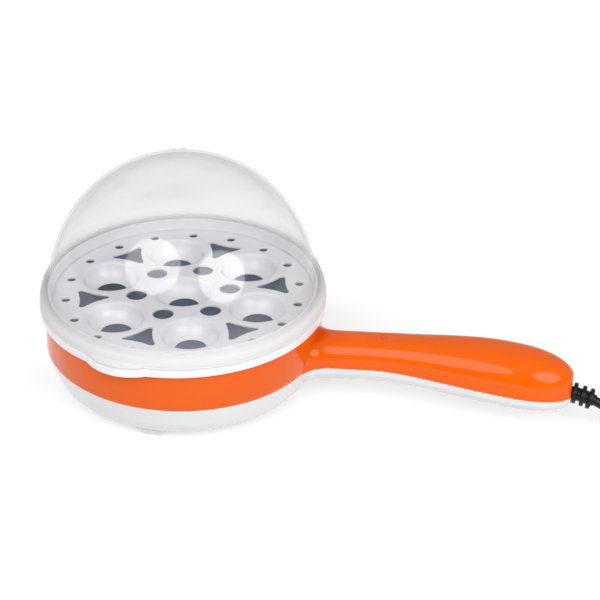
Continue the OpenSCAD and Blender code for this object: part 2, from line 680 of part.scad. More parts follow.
module terminal_block() color("ivory") at_pan() difference() {
    translate([block_x - block_l / 2, -block_w / 2, block_z]) cube([block_l, block_w, block_h]);
    for (s = [-1, 1], x = [-7, 7]) translate([block_x + x, 3.6 * s, block_z + 3])
        cylinder(r = 1.8, h = block_h, $fn = 32);
}

module terminal_screws() color("silver") at_pan()
    for (s = [-1, 1], x = [-7, 7]) translate([block_x + x, 3.6 * s, block_z + 3])
        difference() {
            cylinder(r = 1.7, h = 4, $fn = 32);
            translate([-0.3, -2, 3.2]) cube([0.6, 4, 1]);
        }

relief_sleeve_l = 5;
relief_flange_r = 5.6;
relief_flange_t = 2;
relief_inner_x = handle_reach - wall - 0.3 - relief_flange_t - relief_sleeve_l;
cord_bore = cord_d + 0.4;
cord_r = cord_d / 2;
inner_steps = 14;
inner_route = [for (i = [0:inner_steps]) let (
    x = inner_cord_start + 0.2 + (relief_inner_x - 0.5 - inner_cord_start) * i / inner_steps,
    low = block_z + block_h / 2)
    [x, 0, low + (seam_at(x) - low) * smooth((x - inner_cord_start) / (clamp_x - 8 - inner_cord_start))]];

module inner_cord() color("black") at_pan() tube(inner_route, cord_r, 12);

module cord_clamp() color("ivory") at_pan() difference() {
    translate([clamp_x - clamp_w / 2, -clamp_l / 2, seam_at(clamp_x) + 0.1]) cube([clamp_w, clamp_l, 5]);
    translate([clamp_x - 10, 0, seam_at(clamp_x)]) rotate([0, 90, 0])
        cylinder(d = cord_bore, h = 20, $fn = 32);
    for (s = [-1, 1]) translate([clamp_x, clamp_screw_y * s, seam_at(clamp_x) - 1]) {
        cylinder(r = clamp_screw_r + screw_gap, h = 10, $fn = 24);
        translate([0, 0, 3.1]) cylinder(r = 2.8, h = 10, $fn = 24);
    }
}

module clamp_screws() color("silver") at_pan()
    for (s = [-1, 1]) translate([clamp_x, clamp_screw_y * s, seam_at(clamp_x) + 2.1]) {
        difference() {
            cylinder(r = 2.6, h = 1.8, $fn = 32);
            translate([-0.4, -3, 1]) cube([0.8, 6, 1]);
        }
        translate([0, 0, -7]) cylinder(r = clamp_screw_r, h = 7.2, $fn = 24);
    }

// Routes of the wires inside, as points from the pan's axis
wire_r = 1;
blade_z = foot_h + 10.5;
block_end = block_x - block_l / 2;
terminal_x = (element_ring_r + 0.55) * cos(element_gap_angle);
terminal_y = (element_ring_r + 0.55) * sin(element_gap_angle);
outward = [cos(element_gap_angle), sin(element_gap_angle)];
live_route = [
    [block_end - 0.2, 3.6, block_z + 4.5], [block_end - 12, 6.4, block_z + 6], [block_end - 30, 7.2, seam_z - 2],
    [body_r + 10, 7, seam_z - 2], [body_r - 8, 7, seam_z - 3], [body_r - 22, 12, seam_z - 8],
    [terminal_x + 12 * outward[0], terminal_y + 12 * outward[1], blade_z + 1],
    [terminal_x + 5 * outward[0], terminal_y + 5 * outward[1], blade_z],
    [terminal_x, terminal_y, blade_z]];
neutral_route = [
    [block_end - 0.2, -3.6, block_z + 4.5], [block_end - 12, -6.4, block_z + 6], [block_end - 30, -7.2, seam_z - 2],
    [body_r + 10, -7, seam_z - 2], [body_r - 8, -7, seam_z - 3], [body_r - 22, -8, seam_z - 9],
    [element_ring_r, -4, blade_z + 1], [20, 0, blade_z], [blade_x + 0.6, 0, blade_z]];
fuse_x = -fuse_boss + 6.4;
fuse_lead = 10.3;
fuse_in_route = [
    [-blade_x - 0.6, 0, blade_z], [-blade_x - 6, 1, blade_z], [fuse_x + 3, 7, blade_z + 1],
    [fuse_x + 1, 12.5, blade_z + 7], [fuse_x, 13.5, fuse_z - 4], [fuse_x, 12.6, fuse_z - 0.5],
    [fuse_x, fuse_lead, fuse_z]];
fuse_out_route = [
    [fuse_x, -fuse_lead, fuse_z], [fuse_x, -12.6, fuse_z - 0.5], [fuse_x, -13.5, fuse_z - 4],
    [fuse_x + 1, -12.5, blade_z + 7], [fuse_x + 7, -13, blade_z], [6, -22, blade_z - 1],
    [28, -25, blade_z - 1],
    [terminal_x + 9 * outward[0], -terminal_y - 9 * outward[1], blade_z],
    [terminal_x + 4 * outward[0], -terminal_y - 4 * outward[1], blade_z],
    [terminal_x, -terminal_y, blade_z]];
lamp_wire_z = lens_seat - 9.9;

module lead_wires() color("crimson") at_pan() {
    for (route = [live_route, neutral_route, fuse_in_route, fuse_out_route])
        tube(path(route, 3), wire_r, 8);
    for (s = [-1, 1]) tube(path([
        [lamp_x, 0.9 * s, lamp_wire_z], [lamp_x + 0.5, 1.1 * s, lamp_wire_z - 1.5],
        [lamp_x + 6, 1.4 * s, block_z + 8.6], [block_end - 0.2, 1.4 * s, block_z + 7.6]], 3), 0.5, 8);
}

// ---- strain relief ----
function tilt(a) = [cos(a), 0, -sin(a)];
disc_tilts = [5, 10, 15];
disc_t = 2.6;
disc_step = [5.3, 4.7];
bend_tilt = 15;
collar_tilt = 22;
collar_l = 3.3;
relief_core_r = 4.3;
disc_1 = [handle_reach + disc_t / 2 + 0.7, 0, seam_at(handle_reach) - 0.1];
disc_2 = disc_1 + disc_step[0] * tilt(bend_tilt);
disc_3 = disc_2 + disc_step[1] * tilt(bend_tilt);
discs = [disc_1, disc_2, disc_3];

// A sleeve held inside the handle's end, and three discs on a bending core
module strain_relief() color("black") at_pan() {
    translate([relief_inner_x, 0, seam_at(handle_reach)]) rotate([0, 90, 0]) {
        cylinder(r = relief_neck_r, h = disc_1[0] - relief_inner_x - 0.8, $fn = 48);
        translate([0, 0, relief_sleeve_l]) cylinder(r = relief_flange_r, h = relief_flange_t, $fn = 48);
    }
    for (i = [0:2]) translate(discs[i]) rotate([0, 90 + disc_tilts[i], 0])
        cylinder(d = relief_d, h = disc_t, center = true, $fn = 48);
    for (i = [0:1]) translate(discs[i]) rotate([0, 90 + bend_tilt, 0])
        translate([0, 0, 0.8]) cylinder(r = relief_core_r, h = disc_step[i] - 1.6, $fn = 48);
    translate(disc_3) rotate([0, 90 + collar_tilt, 0])
        translate([0, 0, 0.8]) cylinder(r = cord_r + 0.7, h = collar_l - 0.8, $fn = 48);
}

// ---- mains cord ----
// Route from the strain relief to the coil, chosen by hand for a soft fall
cord_start = disc_3 + (collar_l + 0.2) * tilt(collar_tilt);
coil_at = [345, 38];
coil_r = 35;
coil_lift = 0.8;
run_route = [cord_start, [274.5, 0, 17.8], [281, 0, 14.7], [288, 0, 11.4], [295, 0, 8.4],
             [302, 0, 6], [309, 0, 4.4], [316, 0, 3.7], [322, 0, 3.5], [327, 0, 3.6]];
tail_route = [[349, 79.5, 9.2], [345, 81.3, 8.4], [341, 82.3, 7.7], [338, 82.7, 7.2], [335, 82.8, 7]];

module power_cord() color("black") at_pan() tube(path(run_route, 2), cord_r, 10);
module cord_tail() color("black") at_pan() tube(path(tail_route, 2), cord_r, 10);

module cord_coil() color("black") at_pan() translate([coil_at[0], coil_at[1], coil_lift])
    rotate_extrude($fn = 96) translate([coil_r - cord_d, 0]) square([2 * cord_d, 2 * cord_d]);

tie_angle = 225;
tie_t = 0.7;
module cord_tie() color("dimgray") at_pan() translate([coil_at[0], coil_at[1], 0]) rotate(tie_angle)
    translate([coil_r, 0, coil_lift + cord_d]) difference() {
        outer = 2 * cord_d + 2 * tie_t + 0.2;
        inner = 2 * cord_d + 0.3;
        translate([-outer / 2, -2, -outer / 2]) cube([outer, 4, outer]);
        translate([-inner / 2, -3, -inner / 2 + 0.05]) cube([inner, 6, inner - 0.1]);
    }

plug_at = [334.6, 82.8];
plug_turn = 176;
plug_t = 14;
plug_l = 36;
plug_w = 27;
pin_pitch = 19;
module on_plug() at_pan() translate([plug_at[0], plug_at[1], plug_t / 2]) rotate(plug_turn) children();

module plug_body() color("black") on_plug() {
    rotate([0, 90, 0]) cylinder(r = 4.6, h = 13, $fn = 48);
    translate([0, 0, -plug_t / 2]) linear_extrude(plug_t) polygon([
        [11, -6], [15, -9], [20, -10.6], [26, -plug_w / 2], [plug_l, -plug_w / 2],
        [plug_l, plug_w / 2], [26, plug_w / 2], [20, 10.6], [15, 9], [11, 6]]);
}

module plug_pins() color("silver") on_plug() for (s = [-1, 1])
    translate([plug_l, s * pin_pitch / 2, 0]) rotate([0, 90, 0]) {
        cylinder(r = 2, h = 18, $fn = 32);
        translate([0, 0, 18]) cylinder(r1 = 2, r2 = 1.2, h = 1, $fn = 32);
    }

lid();
egg_tray();
cooking_pan();
pan_seal();
upper_housing();
lower_housing();
heating_element();
element_terminals();
heat_shield();
thermostat();
thermostat_bracket();
bracket_screws();
thermal_fuse();
fuse_clip();
base_screws();
handle_screws();
indicator_lens();
neon_lamp();
terminal_block();
terminal_screws();
lead_wires();
cord_clamp();
clamp_screws();
inner_cord();
strain_relief();
power_cord();
cord_tail();
cord_coil();
cord_tie();
plug_body();
plug_pins();
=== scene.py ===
"""Looks of an electric egg cooker: a glossy two-shell pan with a handle, an egg tray and a clear dome.

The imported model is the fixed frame. Visible shells are built again here with rounded edges and fine
curvature, and every other node of the frame keeps its mesh and gets its material.
"""

import logging
import math
from collections.abc import Callable, Sequence
from dataclasses import dataclass, field
from enum import Enum

import bmesh
import bpy
from mathutils import Matrix, Vector


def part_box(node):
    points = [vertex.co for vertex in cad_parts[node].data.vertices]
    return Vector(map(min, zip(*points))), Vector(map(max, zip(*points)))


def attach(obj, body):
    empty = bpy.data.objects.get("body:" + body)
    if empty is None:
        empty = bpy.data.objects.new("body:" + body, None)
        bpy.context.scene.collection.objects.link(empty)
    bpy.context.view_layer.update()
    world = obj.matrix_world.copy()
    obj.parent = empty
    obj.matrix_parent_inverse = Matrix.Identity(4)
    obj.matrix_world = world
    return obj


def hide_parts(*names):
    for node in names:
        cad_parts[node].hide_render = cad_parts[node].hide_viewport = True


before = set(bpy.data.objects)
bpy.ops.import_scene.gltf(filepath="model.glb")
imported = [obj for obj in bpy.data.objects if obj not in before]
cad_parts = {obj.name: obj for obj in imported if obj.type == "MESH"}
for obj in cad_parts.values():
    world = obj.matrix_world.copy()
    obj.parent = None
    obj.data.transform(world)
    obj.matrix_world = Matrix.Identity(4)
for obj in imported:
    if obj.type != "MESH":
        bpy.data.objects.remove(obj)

MM = 0.001
MERGE_MM = 0.0008
TOUCH_MM = 0.01
LOG = logging.getLogger("egg_cooker")
Point = tuple[float, float, float]
Flat = tuple[float, float]


class Body(Enum):
    """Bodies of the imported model."""

    BASE = "base"
    TRAY = "tray"
    LID = "lid_body"


class Slot(Enum):
    """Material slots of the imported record."""

    LID = "clear_lid"
    WHITE = "white_plastic"
    ORANGE = "orange_plastic"
    BLACK = "black_rubber"
    LENS = "lamp_lens"
    PIN = "pin_metal"


# ---------------------------------------------------------------- sizes


def box_mm(node: str) -> tuple[Vector, Vector]:
    """Reads a node's lowest and highest corners in millimetres.

    Args:
        node: Name of a CAD node.

    Returns:
        The lowest and the highest corner.
    """
    low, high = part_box(node)
    return Vector(low) / MM, Vector(high) / MM


@dataclass(frozen=True)
class Sizes:
    """Sizes in millimetres, most of them read from the frame; the pan's axis is at pan_x."""

    pan_x: float
    body_r: float
    reach: float
    seam_z: float
    lip_z: float
    tray_top: float
    lid_z: float
    apex_z: float
    rim_r: float = 93.0
    wall: float = 2.2
    tongue_h: float = 3.0
    seam_dip: float = 3.0
    seam_rise: float = 6.0
    seam_fall: float = 12.0
    seam_ease: float = 55.0
    side_lean: float = 17.0
    rib_h: float = 7.5
    lid_wall: float = 1.6

    @classmethod
    def from_frame(cls) -> "Sizes":
        """Reads the sizes off the CAD nodes.

        Returns:
            The sizes that the pieces are built from.
        """
        pan_low, pan_high = box_mm("cooking_pan")
        up_low, up_high = box_mm("upper_housing")
        _, low_high = box_mm("lower_housing")
        _, tray_high = box_mm("egg_tray")
        lid_low, lid_high = box_mm("lid")
        pan_x = (pan_low.x + pan_high.x) / 2
        return cls(
            pan_x=pan_x,
            body_r=pan_x - up_low.x,
            reach=up_high.x - pan_x,
            seam_z=low_high.z - cls.tongue_h,
            lip_z=up_high.z,
            tray_top=tray_high.z - cls.rib_h,
            lid_z=lid_low.z,
            apex_z=lid_high.z,
        )

    def seam_at(self, x: float) -> float:
        """Gives the seam's height: a tilted plane round the body, then a curve along the handle.

        Args:
            x: Distance from the pan's axis.

        Returns:
            The height above the floor.
        """
        if x < self.body_r:
            return self.seam_z - self.seam_dip * (x + self.body_r) / (2 * self.body_r)
        u = (x - self.body_r) / (self.reach - self.body_r)
        dip = self.seam_dip * (1 - smooth_step((x - self.body_r) / self.seam_ease))
        return self.seam_z + self.seam_rise * u - self.seam_fall * u * u - dip


SIZES = Sizes.from_frame()


# ---------------------------------------------------------------- mesh helpers


def smooth_step(t: float) -> float:
    """Runs from 0 to 1 with level ends.

    Args:
        t: Position, held between 0 and 1.

    Returns:
        The eased position.
    """
    c = max(0.0, min(1.0, t))
    return c * c * (3 - 2 * c)


def fillet(
    points: Sequence[Flat], radii: dict[int, float], steps: int = 5, most: float = 0.49
) -> list[Flat]:
    """Rounds chosen corners of an outline.

    Args:
        points: Corners of the outline.
        radii: Radius of each corner that is rounded, by its index.
        steps: Pieces in each rounded corner.
        most: Largest share of a side that a corner takes.

    Returns:
        The outline with its rounded corners.
    """
    out: list[Flat] = []
    count = len(points)
    for i, (x, y) in enumerate(points):
        if i not in radii:
            out.append((x, y))
            continue
        here = Vector((x, y))
        before = Vector(points[(i - 1) % count]) - here
        after = Vector(points[(i + 1) % count]) - here
        half = before.angle(after) / 2
        cut = min(radii[i] / math.tan(half), most * before.length, most * after.length)
        start = here + before.normalized() * cut
        end = here + after.normalized() * cut
        for k in range(steps + 1):
            t = k / steps
            p = start * (1 - t) ** 2 + here * 2 * t * (1 - t) + end * t * t
            out.append((p.x, p.y))
    return out


def add_object(name: str, data: bpy.types.ID) -> bpy.types.Object:
    """Puts a new object into the scene.

    Args:
        name: Its name.
        data: Its mesh, curve, light or camera.

    Returns:
        The object.
    """
    obj = bpy.data.objects.new(name, data)
    bpy.context.scene.collection.objects.link(obj)
    return obj


def new_mesh(bm: bmesh.types.BMesh, name: str) -> bpy.types.Mesh:
    """Turns geometry into a mesh.

    Args:
        bm: The geometry, which is freed.
        name: Name of the mesh.

    Returns:
        The mesh.
    """
    mesh = bpy.data.meshes.new(name)
    bm.to_mesh(mesh)
    bm.free()
    return mesh


def finish_mesh(
    bm: bmesh.types.BMesh, name: str, sharp: float = 32.0, place: Matrix | None = None
) -> bpy.types.Object:
    """Turns millimetre geometry about the pan's axis into a smooth object in metres.

    Args:
        bm: The geometry, which is freed.
        name: Name of the new object.
        sharp: Edges that turn by more than this many degrees stay sharp.
        place: A move to make before the move to the pan's axis.

    Returns:
        The new object, at the origin, with its place in its mesh.
    """
    bmesh.ops.remove_doubles(bm, verts=bm.verts, dist=MERGE_MM)
    bmesh.ops.recalc_face_normals(bm, faces=bm.faces)
    to_row = Matrix.Scale(MM, 4) @ Matrix.Translation((SIZES.pan_x, 0, 0)) @ (place or Matrix.Identity(4))
    bmesh.ops.transform(bm, matrix=to_row, verts=bm.verts)
    mesh = new_mesh(bm, name)
    mesh.polygons.foreach_set("use_smooth", [True] * len(mesh.polygons))
    mesh.set_sharp_from_angle(angle=math.radians(sharp))
    return add_object(name, mesh)


def add_spin(bm: bmesh.types.BMesh, profile: Sequence[Flat], steps: int, closed: bool = True) -> None:
    """Turns an outline of (radius, height) about the pan's axis.

    Args:
        bm: Geometry that the turned shape is added to.
        profile: Points of the outline.
        steps: Steps in the full turn.
        closed: Whether the outline is joined back to its start.
    """
    verts = [bm.verts.new((r, 0, z)) for r, z in profile]
    pairs = list(zip(verts, verts[1:])) + ([(verts[-1], verts[0])] if closed else [])
    edges = [bm.edges.new(pair) for pair in pairs]
    bmesh.ops.spin(
        bm, geom=verts + edges, cent=(0, 0, 0), axis=(0, 0, 1), angle=math.tau, steps=steps, use_merge=True
    )


def add_surface(
    bm: bmesh.types.BMesh, shape: Callable[[float, float], Point], across: int, along: int
) -> list[bmesh.types.BMFace]:
    """Bends a grid into a surface.

    Args:
        bm: Geometry that the surface is added to.
        shape: Gives the point for (u, v), each from 0 to 1.
        across: Steps along u.
        along: Steps along v.

    Returns:
        The faces of the surface.
    """
    made = bmesh.ops.create_grid(bm, x_segments=across, y_segments=along, size=0.5)["verts"]
    for vert in made:
        vert.co = Vector(shape(min(1, max(0, vert.co.x + 0.5)), min(1, max(0, vert.co.y + 0.5))))
    inside = set(made)
    return [f for f in bm.faces if all(v in inside for v in f.verts)]


def round_edges(
    bm: bmesh.types.BMesh, edges: list[bmesh.types.BMEdge], width: float, steps: int = 3
) -> None:
    """Rounds edges.

    Args:
        bm: Their geometry.
        edges: The edges.
        width: Width of the rounding.
        steps: Faces across it.
    """
    bmesh.ops.bevel(bm, geom=edges, offset=width, segments=steps, profile=0.5, affect="EDGES", material=-1)


def standing(at: Sequence[float], tilt: float) -> Matrix:
    """Gives the frame of something that stands at a point with its Z axis tilted towards +X.

    Args:
        at: The point.
        tilt: The tilt in degrees.

    Returns:
        The frame.
    """
    return Matrix.Translation(at) @ Matrix.Rotation(math.radians(tilt), 4, "Y")


def add_cylinder(
    bm: bmesh.types.BMesh, place: Matrix, radius: float, length: float, edge: float, sides: int = 48
) -> None:
    """Adds a cylinder with rounded rims, from z 0 to its length.

    Args:
        bm: Geometry that it is added to.
        place: Where it stands.
        radius: Its radius.
        length: Its length.
        edge: Radius of its rims.
        sides: Sides round it.
    """
    made = bmesh.ops.create_cone(
        bm, cap_ends=True, segments=sides, radius1=radius, radius2=radius, depth=length,
        matrix=place @ Matrix.Translation((0, 0, length / 2)),
    )["verts"]
    own = set(made)
    rims = [e for f in bm.faces if len(f.verts) == sides and f.verts[0] in own for e in f.edges]
    round_edges(bm, rims, edge)


# ---------------------------------------------------------------- shader helpers


class Wire:
    """A node's output, with arithmetic that makes maths nodes."""

    def __init__(self, graph: "Graph", socket: bpy.types.NodeSocket) -> None:
        """Wraps a socket.

        Args:
            graph: The material that the socket is in.
            socket: The output socket.
        """
        self.graph = graph
        self.socket = socket

    def _maths(self, kind: str, first: "Wire | float", second: "Wire | float") -> "Wire":
        """Makes a maths node of a kind from two values."""
        return self.graph.node("ShaderNodeMath", {0: first, 1: second}, operation=kind)

    def __add__(self, other: "Wire | float") -> "Wire":
        """Adds."""
        return self._maths("ADD", self, other)

    def __sub__(self, other: "Wire | float") -> "Wire":
        """Subtracts."""
        return self._maths("SUBTRACT", self, other)

    def __mul__(self, other: "Wire | float") -> "Wire":
        """Multiplies."""
        return self._maths("MULTIPLY", self, other)

    def __rsub__(self, other: float) -> "Wire":
        """Subtracts from a number."""
        return self._maths("SUBTRACT", other, self)

    def __pow__(self, other: "Wire | float") -> "Wire":
        """Raises to a power."""
        return self._maths("POWER", self, other)

    __radd__ = __add__
    __rmul__ = __mul__


class Graph:
    """A node tree under construction, of a material or of the world."""

    def __init__(self, owner: bpy.types.Material | bpy.types.World) -> None:
        """Starts an empty node tree.

        Args:
            owner: The material or the world.
        """
        self.owner = owner
        owner.use_nodes = True
        self.tree = owner.node_tree
        self.tree.nodes.clear()

    @classmethod
    def material(cls, name: str) -> "Graph":
        """Starts a new material.

        Args:
            name: Name of the material.

        Returns:
            Its empty node tree.
        """
        return cls(bpy.data.materials.new(name))

    def node(
        self, kind: str, inputs: dict | None = None, output: int | str = 0, **settings: object
    ) -> Wire:
        """Makes any node and sets it up.

        Args:
            kind: The node's type.
            inputs: Values or wires by input name or index.
            output: Which output the result wraps.
            **settings: Properties of the node.

        Returns:
            The chosen output.
        """
        made = self.tree.nodes.new(kind)
        for key, value in settings.items():
            setattr(made, key, value)
        for key, value in (inputs or {}).items():
            if isinstance(value, Wire):
                self.tree.links.new(value.socket, made.inputs[key])
            else:
                made.inputs[key].default_value = value
        return Wire(self, made.outputs[output])

    def finish(self, surface: Wire) -> bpy.types.Material | bpy.types.World:
        """Joins the shader to the tree's output.

        Args:
            surface: The shader.

        Returns:
            The finished owner.
        """
        kind = "World" if isinstance(self.owner, bpy.types.World) else "Material"
        output = self.tree.nodes.new(f"ShaderNodeOutput{kind}")
        self.tree.links.new(surface.socket, output.inputs["Surface"])
        return self.owner

    def noise(self, scale: float, detail: float) -> Wire:
        """Makes a noise in object coordinates.

        Args:
            scale: Waves per metre.
            detail: Octaves.

        Returns:
            The noise.
        """
        place = self.node("ShaderNodeTexCoord", output="Object")
        return self.node("ShaderNodeTexNoise", {"Vector": place, "Scale": scale, "Detail": detail})

    def ramp(self, value: Wire, start: float, end: float, low: float = 0.0, high: float = 1.0) -> Wire:
        """Ramps from one level to another.

        Args:
            value: What the ramp follows.
            start: Where it starts.
            end: Where it ends.
            low: The level up to its start.
            high: The level from its end on.

        Returns:
            The ramp.
        """
        return self.node("ShaderNodeMapRange", {
            "Value": value, "From Min": start, "From Max": end, "To Min": low, "To Max": high})

    def blend(self, share: Wire, first: Point | Wire, second: Point | Wire) -> Wire:
        """Mixes two colours.

        Args:
            share: The second one's share.
            first: The first colour.
            second: The second colour.

        Returns:
            The mixed colour.
        """
        ends = [end if isinstance(end, Wire) else (*end, 1) for end in (first, second)]
        return self.node("ShaderNodeMix", {0: share, 6: ends[0], 7: ends[1]}, output=2, data_type="RGBA")

    def mix(self, share: Wire, first: Wire, second: Wire) -> Wire:
        """Mixes two shaders.

        Args:
            share: The second one's share.
            first: The first shader.
            second: The second shader.

        Returns:
            The mixed shader.
        """
        return self.node("ShaderNodeMixShader", {0: share, 1: first, 2: second})

    def clear(self, color: Point) -> Wire:
        """Makes a see-through shader that tints what is behind it."""
        return self.node("ShaderNodeBsdfTransparent", {"Color": (*color, 1)})

    def bump(self, height: Wire, distance: float, strength: float) -> Wire:
        """Makes a bump from a height.

        Args:
            height: The height, about 0 to 1.
            distance: What a height of 1 stands for, in metres.
            strength: How strongly it shows.

        Returns:
            The normal.
        """
        return self.node("ShaderNodeBump", {"Height": height, "Distance": distance, "Strength": strength})


def shade(color: Point, factor: float) -> Point:
    """Makes a colour darker or lighter."""
    return tuple(factor * c for c in color)


@dataclass(frozen=True)
class Plastic:
    """A moulded plastic: glossy or satin, with faint mould texture and colour drift."""

    name: str
    color: Point
    roughness: float = 0.16
    coat: float = 0.3
    specular: float = 0.5
    coat_roughness: float = 0.06
    texture: float = 0.05
    drift: float = 0.03
    subsurface: float = 0.0
    depth: float = 0.002
    wear: float = 0.06
    patches: float = 22.0
    grains: float = 900.0
    grain_h: float = 0.00004

    def make(self) -> bpy.types.Material:
        """Builds the material.

        Returns:
            The material.
        """
        g = Graph.material(self.name)
        patch = g.noise(self.patches, 3)
        grain = g.noise(self.grains, 2)
        shader = g.node("ShaderNodeBsdfPrincipled", {
            "Base Color": g.blend(patch, self.color, shade(self.color, 1 - 2 * self.drift)),
            "Roughness": self.roughness + self.wear * patch,
            "Specular IOR Level": self.specular,
            "Coat Weight": self.coat,
            "Coat Roughness": self.coat_roughness,
            "Subsurface Weight": self.subsurface,
            "Subsurface Scale": self.depth,
            "Normal": g.bump(grain + 2.0 * patch, self.grain_h, self.texture),
        })
        return g.finish(shader)


@dataclass(frozen=True)
class Metal:
    """A worn metal with fine brushed streaks and patches."""

    name: str
    color: Point
    roughness: float = 0.3
    streaks: float = 0.3
    stretch: Point = (40, 1600, 1600)
    streak_h: float = 0.00002
    tarnish: float = 0.7
    patches: float = 60.0
    wear: float = 0.2

    def make(self) -> bpy.types.Material:
        """Builds the material.

        Returns:
            The material.
        """
        g = Graph.material(self.name)
        place = g.node("ShaderNodeTexCoord", output="Object")
        along = g.node("ShaderNodeMapping", {"Vector": place, "Scale": self.stretch})
        lines = g.node("ShaderNodeTexNoise", {"Vector": along, "Scale": 1.0, "Detail": 2.0})
        patch = g.noise(self.patches, 3)
        shader = g.node("ShaderNodeBsdfPrincipled", {
            "Base Color": g.blend(patch, self.color, shade(self.color, self.tarnish)),
            "Metallic": 1.0,
            "Roughness": self.roughness + self.wear * patch,
            "Normal": g.bump(lines, self.streak_h, self.streaks),
        })
        return g.finish(shader)


@dataclass(frozen=True)
class Coating:
    """The dark non-stick coating of the pan: fine speckle under a soft sheen."""

    name: str = "look_non_stick"
    color: Point = (0.05, 0.12, 0.26)
    glint: float = 1.6
    roughness: float = 0.38
    wear: float = 0.12
    speckles: float = 2200.0
    speckle_h: float = 0.00003
    texture: float = 0.25
    patches: float = 35.0

    def make(self) -> bpy.types.Material:
        """Builds the material.

        Returns:
            The material.
        """
        g = Graph.material(self.name)
        speckle = g.noise(self.speckles, 1)
        patch = g.noise(self.patches, 3)
        shader = g.node("ShaderNodeBsdfPrincipled", {
            "Base Color": g.blend(speckle ** 3, self.color, shade(self.color, self.glint)),
            "Roughness": self.roughness + self.wear * patch,
            "Normal": g.bump(speckle, self.speckle_h, self.texture),
        })
        return g.finish(shader)


@dataclass(frozen=True)
class ClearPlastic:
    """Clear moulded plastic as a thin wall: see-through above, milkier downwards and frosted at its foot.

    Each pair of heights in metres gives where an effect is full and, above that, where it ends.
    """

    name: str = "look_clear_plastic"
    tint: Point = (0.966, 0.966, 0.969)
    rim: Point = (0.75, 0.75, 0.77)
    haze: Point = (0.95, 0.95, 0.96)
    white: Point = (1, 1, 1)
    milk: float = 0.028
    low_milk: float = 0.12
    low: Flat = (0.06, 0.1)
    frost: float = 0.5
    foot: Flat = (0.067, 0.073)
    edge_milk: float = 0.22
    gloss: float = 0.042
    edge_gloss: float = 0.45
    roughness: float = 0.11
    flare: Flat = (0.078, 0.09)
    flare_roughness: float = 0.29
    flare_dull: float = 0.75
    waves: float = 18.0
    wave_h: float = 0.0004
    wave_strength: float = 0.12

    def make(self) -> bpy.types.Material:
        """Builds the material.

        Returns:
            The material.
        """
        g = Graph.material(self.name)
        normal = g.bump(g.noise(self.waves, 2), self.wave_h, self.wave_strength)
        place = g.node("ShaderNodeTexCoord", output="Object")
        height = g.node("ShaderNodeSeparateXYZ", {0: place}, output="Z")
        low, foot, flare = [g.ramp(height, *ends, 1.0, 0.0) for ends in (self.low, self.foot, self.flare)]
        edge_on = g.node("ShaderNodeLayerWeight", {"Blend": 0.5}, output="Facing")
        clear = g.mix(edge_on ** 6, g.clear(self.tint), g.clear(self.rim))
        milk = g.node("ShaderNodeBsdfDiffuse", {"Color": (*self.haze, 1)})
        share = self.milk + self.low_milk * low ** 2 + self.frost * foot + self.edge_milk * edge_on ** 4
        mirror = g.node("ShaderNodeBsdfGlossy", {
            "Color": (*self.white, 1), "Roughness": self.roughness + self.flare_roughness * flare,
            "Normal": normal})
        shine = (self.gloss + self.edge_gloss * edge_on ** 5) * (1.0 - self.flare_dull * flare)
        return g.finish(g.mix(shine, g.mix(share, clear, milk), mirror))


@dataclass(frozen=True)
class LampPlastic:
    """The indicator's translucent orange lens."""

    name: str = "look_lamp_lens"
    color: Point = (0.9, 0.1, 0.006)
    roughness: float = 0.06
    wear: float = 0.05
    ribs: float = 1500.0
    rib_h: float = 0.00005
    texture: float = 0.2
    through: float = 0.1
    specular: float = 0.3

    def make(self) -> bpy.types.Material:
        """Builds the material.

        Returns:
            The material.
        """
        g = Graph.material(self.name)
        ribs = g.noise(self.ribs, 1)
        shader = g.node("ShaderNodeBsdfPrincipled", {
            "Base Color": (*self.color, 1),
            "Roughness": self.roughness + self.wear * ribs,
            "Transmission Weight": self.through,
            "Specular IOR Level": self.specular,
            "Normal": g.bump(ribs, self.rib_h, self.texture),
        })
        return g.finish(shader)


class Finish(Enum):
    """Every finish that the object has."""

    CLEAR = ClearPlastic()
    WHITE = Plastic("look_white_plastic", (0.82, 0.822, 0.832), subsurface=0.05)
    TRAY = Plastic("look_tray_plastic", (0.9, 0.895, 0.91), roughness=0.2, subsurface=0.05)
    ORANGE = Plastic("look_orange_plastic", (0.87, 0.122, 0.001), roughness=0.04, coat=0.0, specular=0.26)
    COATING = Coating()
    SEAL = Plastic("look_silicone_seal", (0.55, 0.55, 0.53), roughness=0.5, coat=0.0, texture=0.3)
    STEEL = Metal("look_zinc_steel", (0.62, 0.62, 0.6))
    ELEMENT = Metal("look_element_steel", (0.32, 0.29, 0.26), roughness=0.45)
    SHEET = Metal("look_aluminium_sheet", (0.72, 0.72, 0.73), roughness=0.28)
    BRASS = Metal("look_brass", (0.74, 0.53, 0.24), roughness=0.25)
    PIN = Metal("look_nickel_pin", (0.72, 0.7, 0.66), roughness=0.16, streaks=0.15)
    CERAMIC = Plastic("look_glazed_ceramic", (0.72, 0.68, 0.58), roughness=0.2, drift=0.05)
    INSULATOR = Plastic("look_insulator", (0.68, 0.64, 0.5), roughness=0.45, coat=0.0, texture=0.2)
    WIRE = Plastic("look_wire_sleeve", (0.5, 0.03, 0.02), roughness=0.4, coat=0.0, texture=0.2)
    BLACK = Plastic(
        "look_black_pvc", (0.008, 0.008, 0.009), roughness=0.3, coat=0.0, specular=0.3, texture=0.25,
        drift=0.15)
    LENS = LampPlastic()

    def material(self) -> bpy.types.Material:
        """Gives the finish's material, which is made once.

        Returns:
            The material.
        """
        return bpy.data.materials.get(self.value.name) or self.value.make()

    def dress(self, obj: bpy.types.Object) -> None:
        """Puts the finish on an object.

        Args:
            obj: The object, whose other materials are dropped.
        """
        obj.data.materials.clear()
        obj.data.materials.append(self.material())


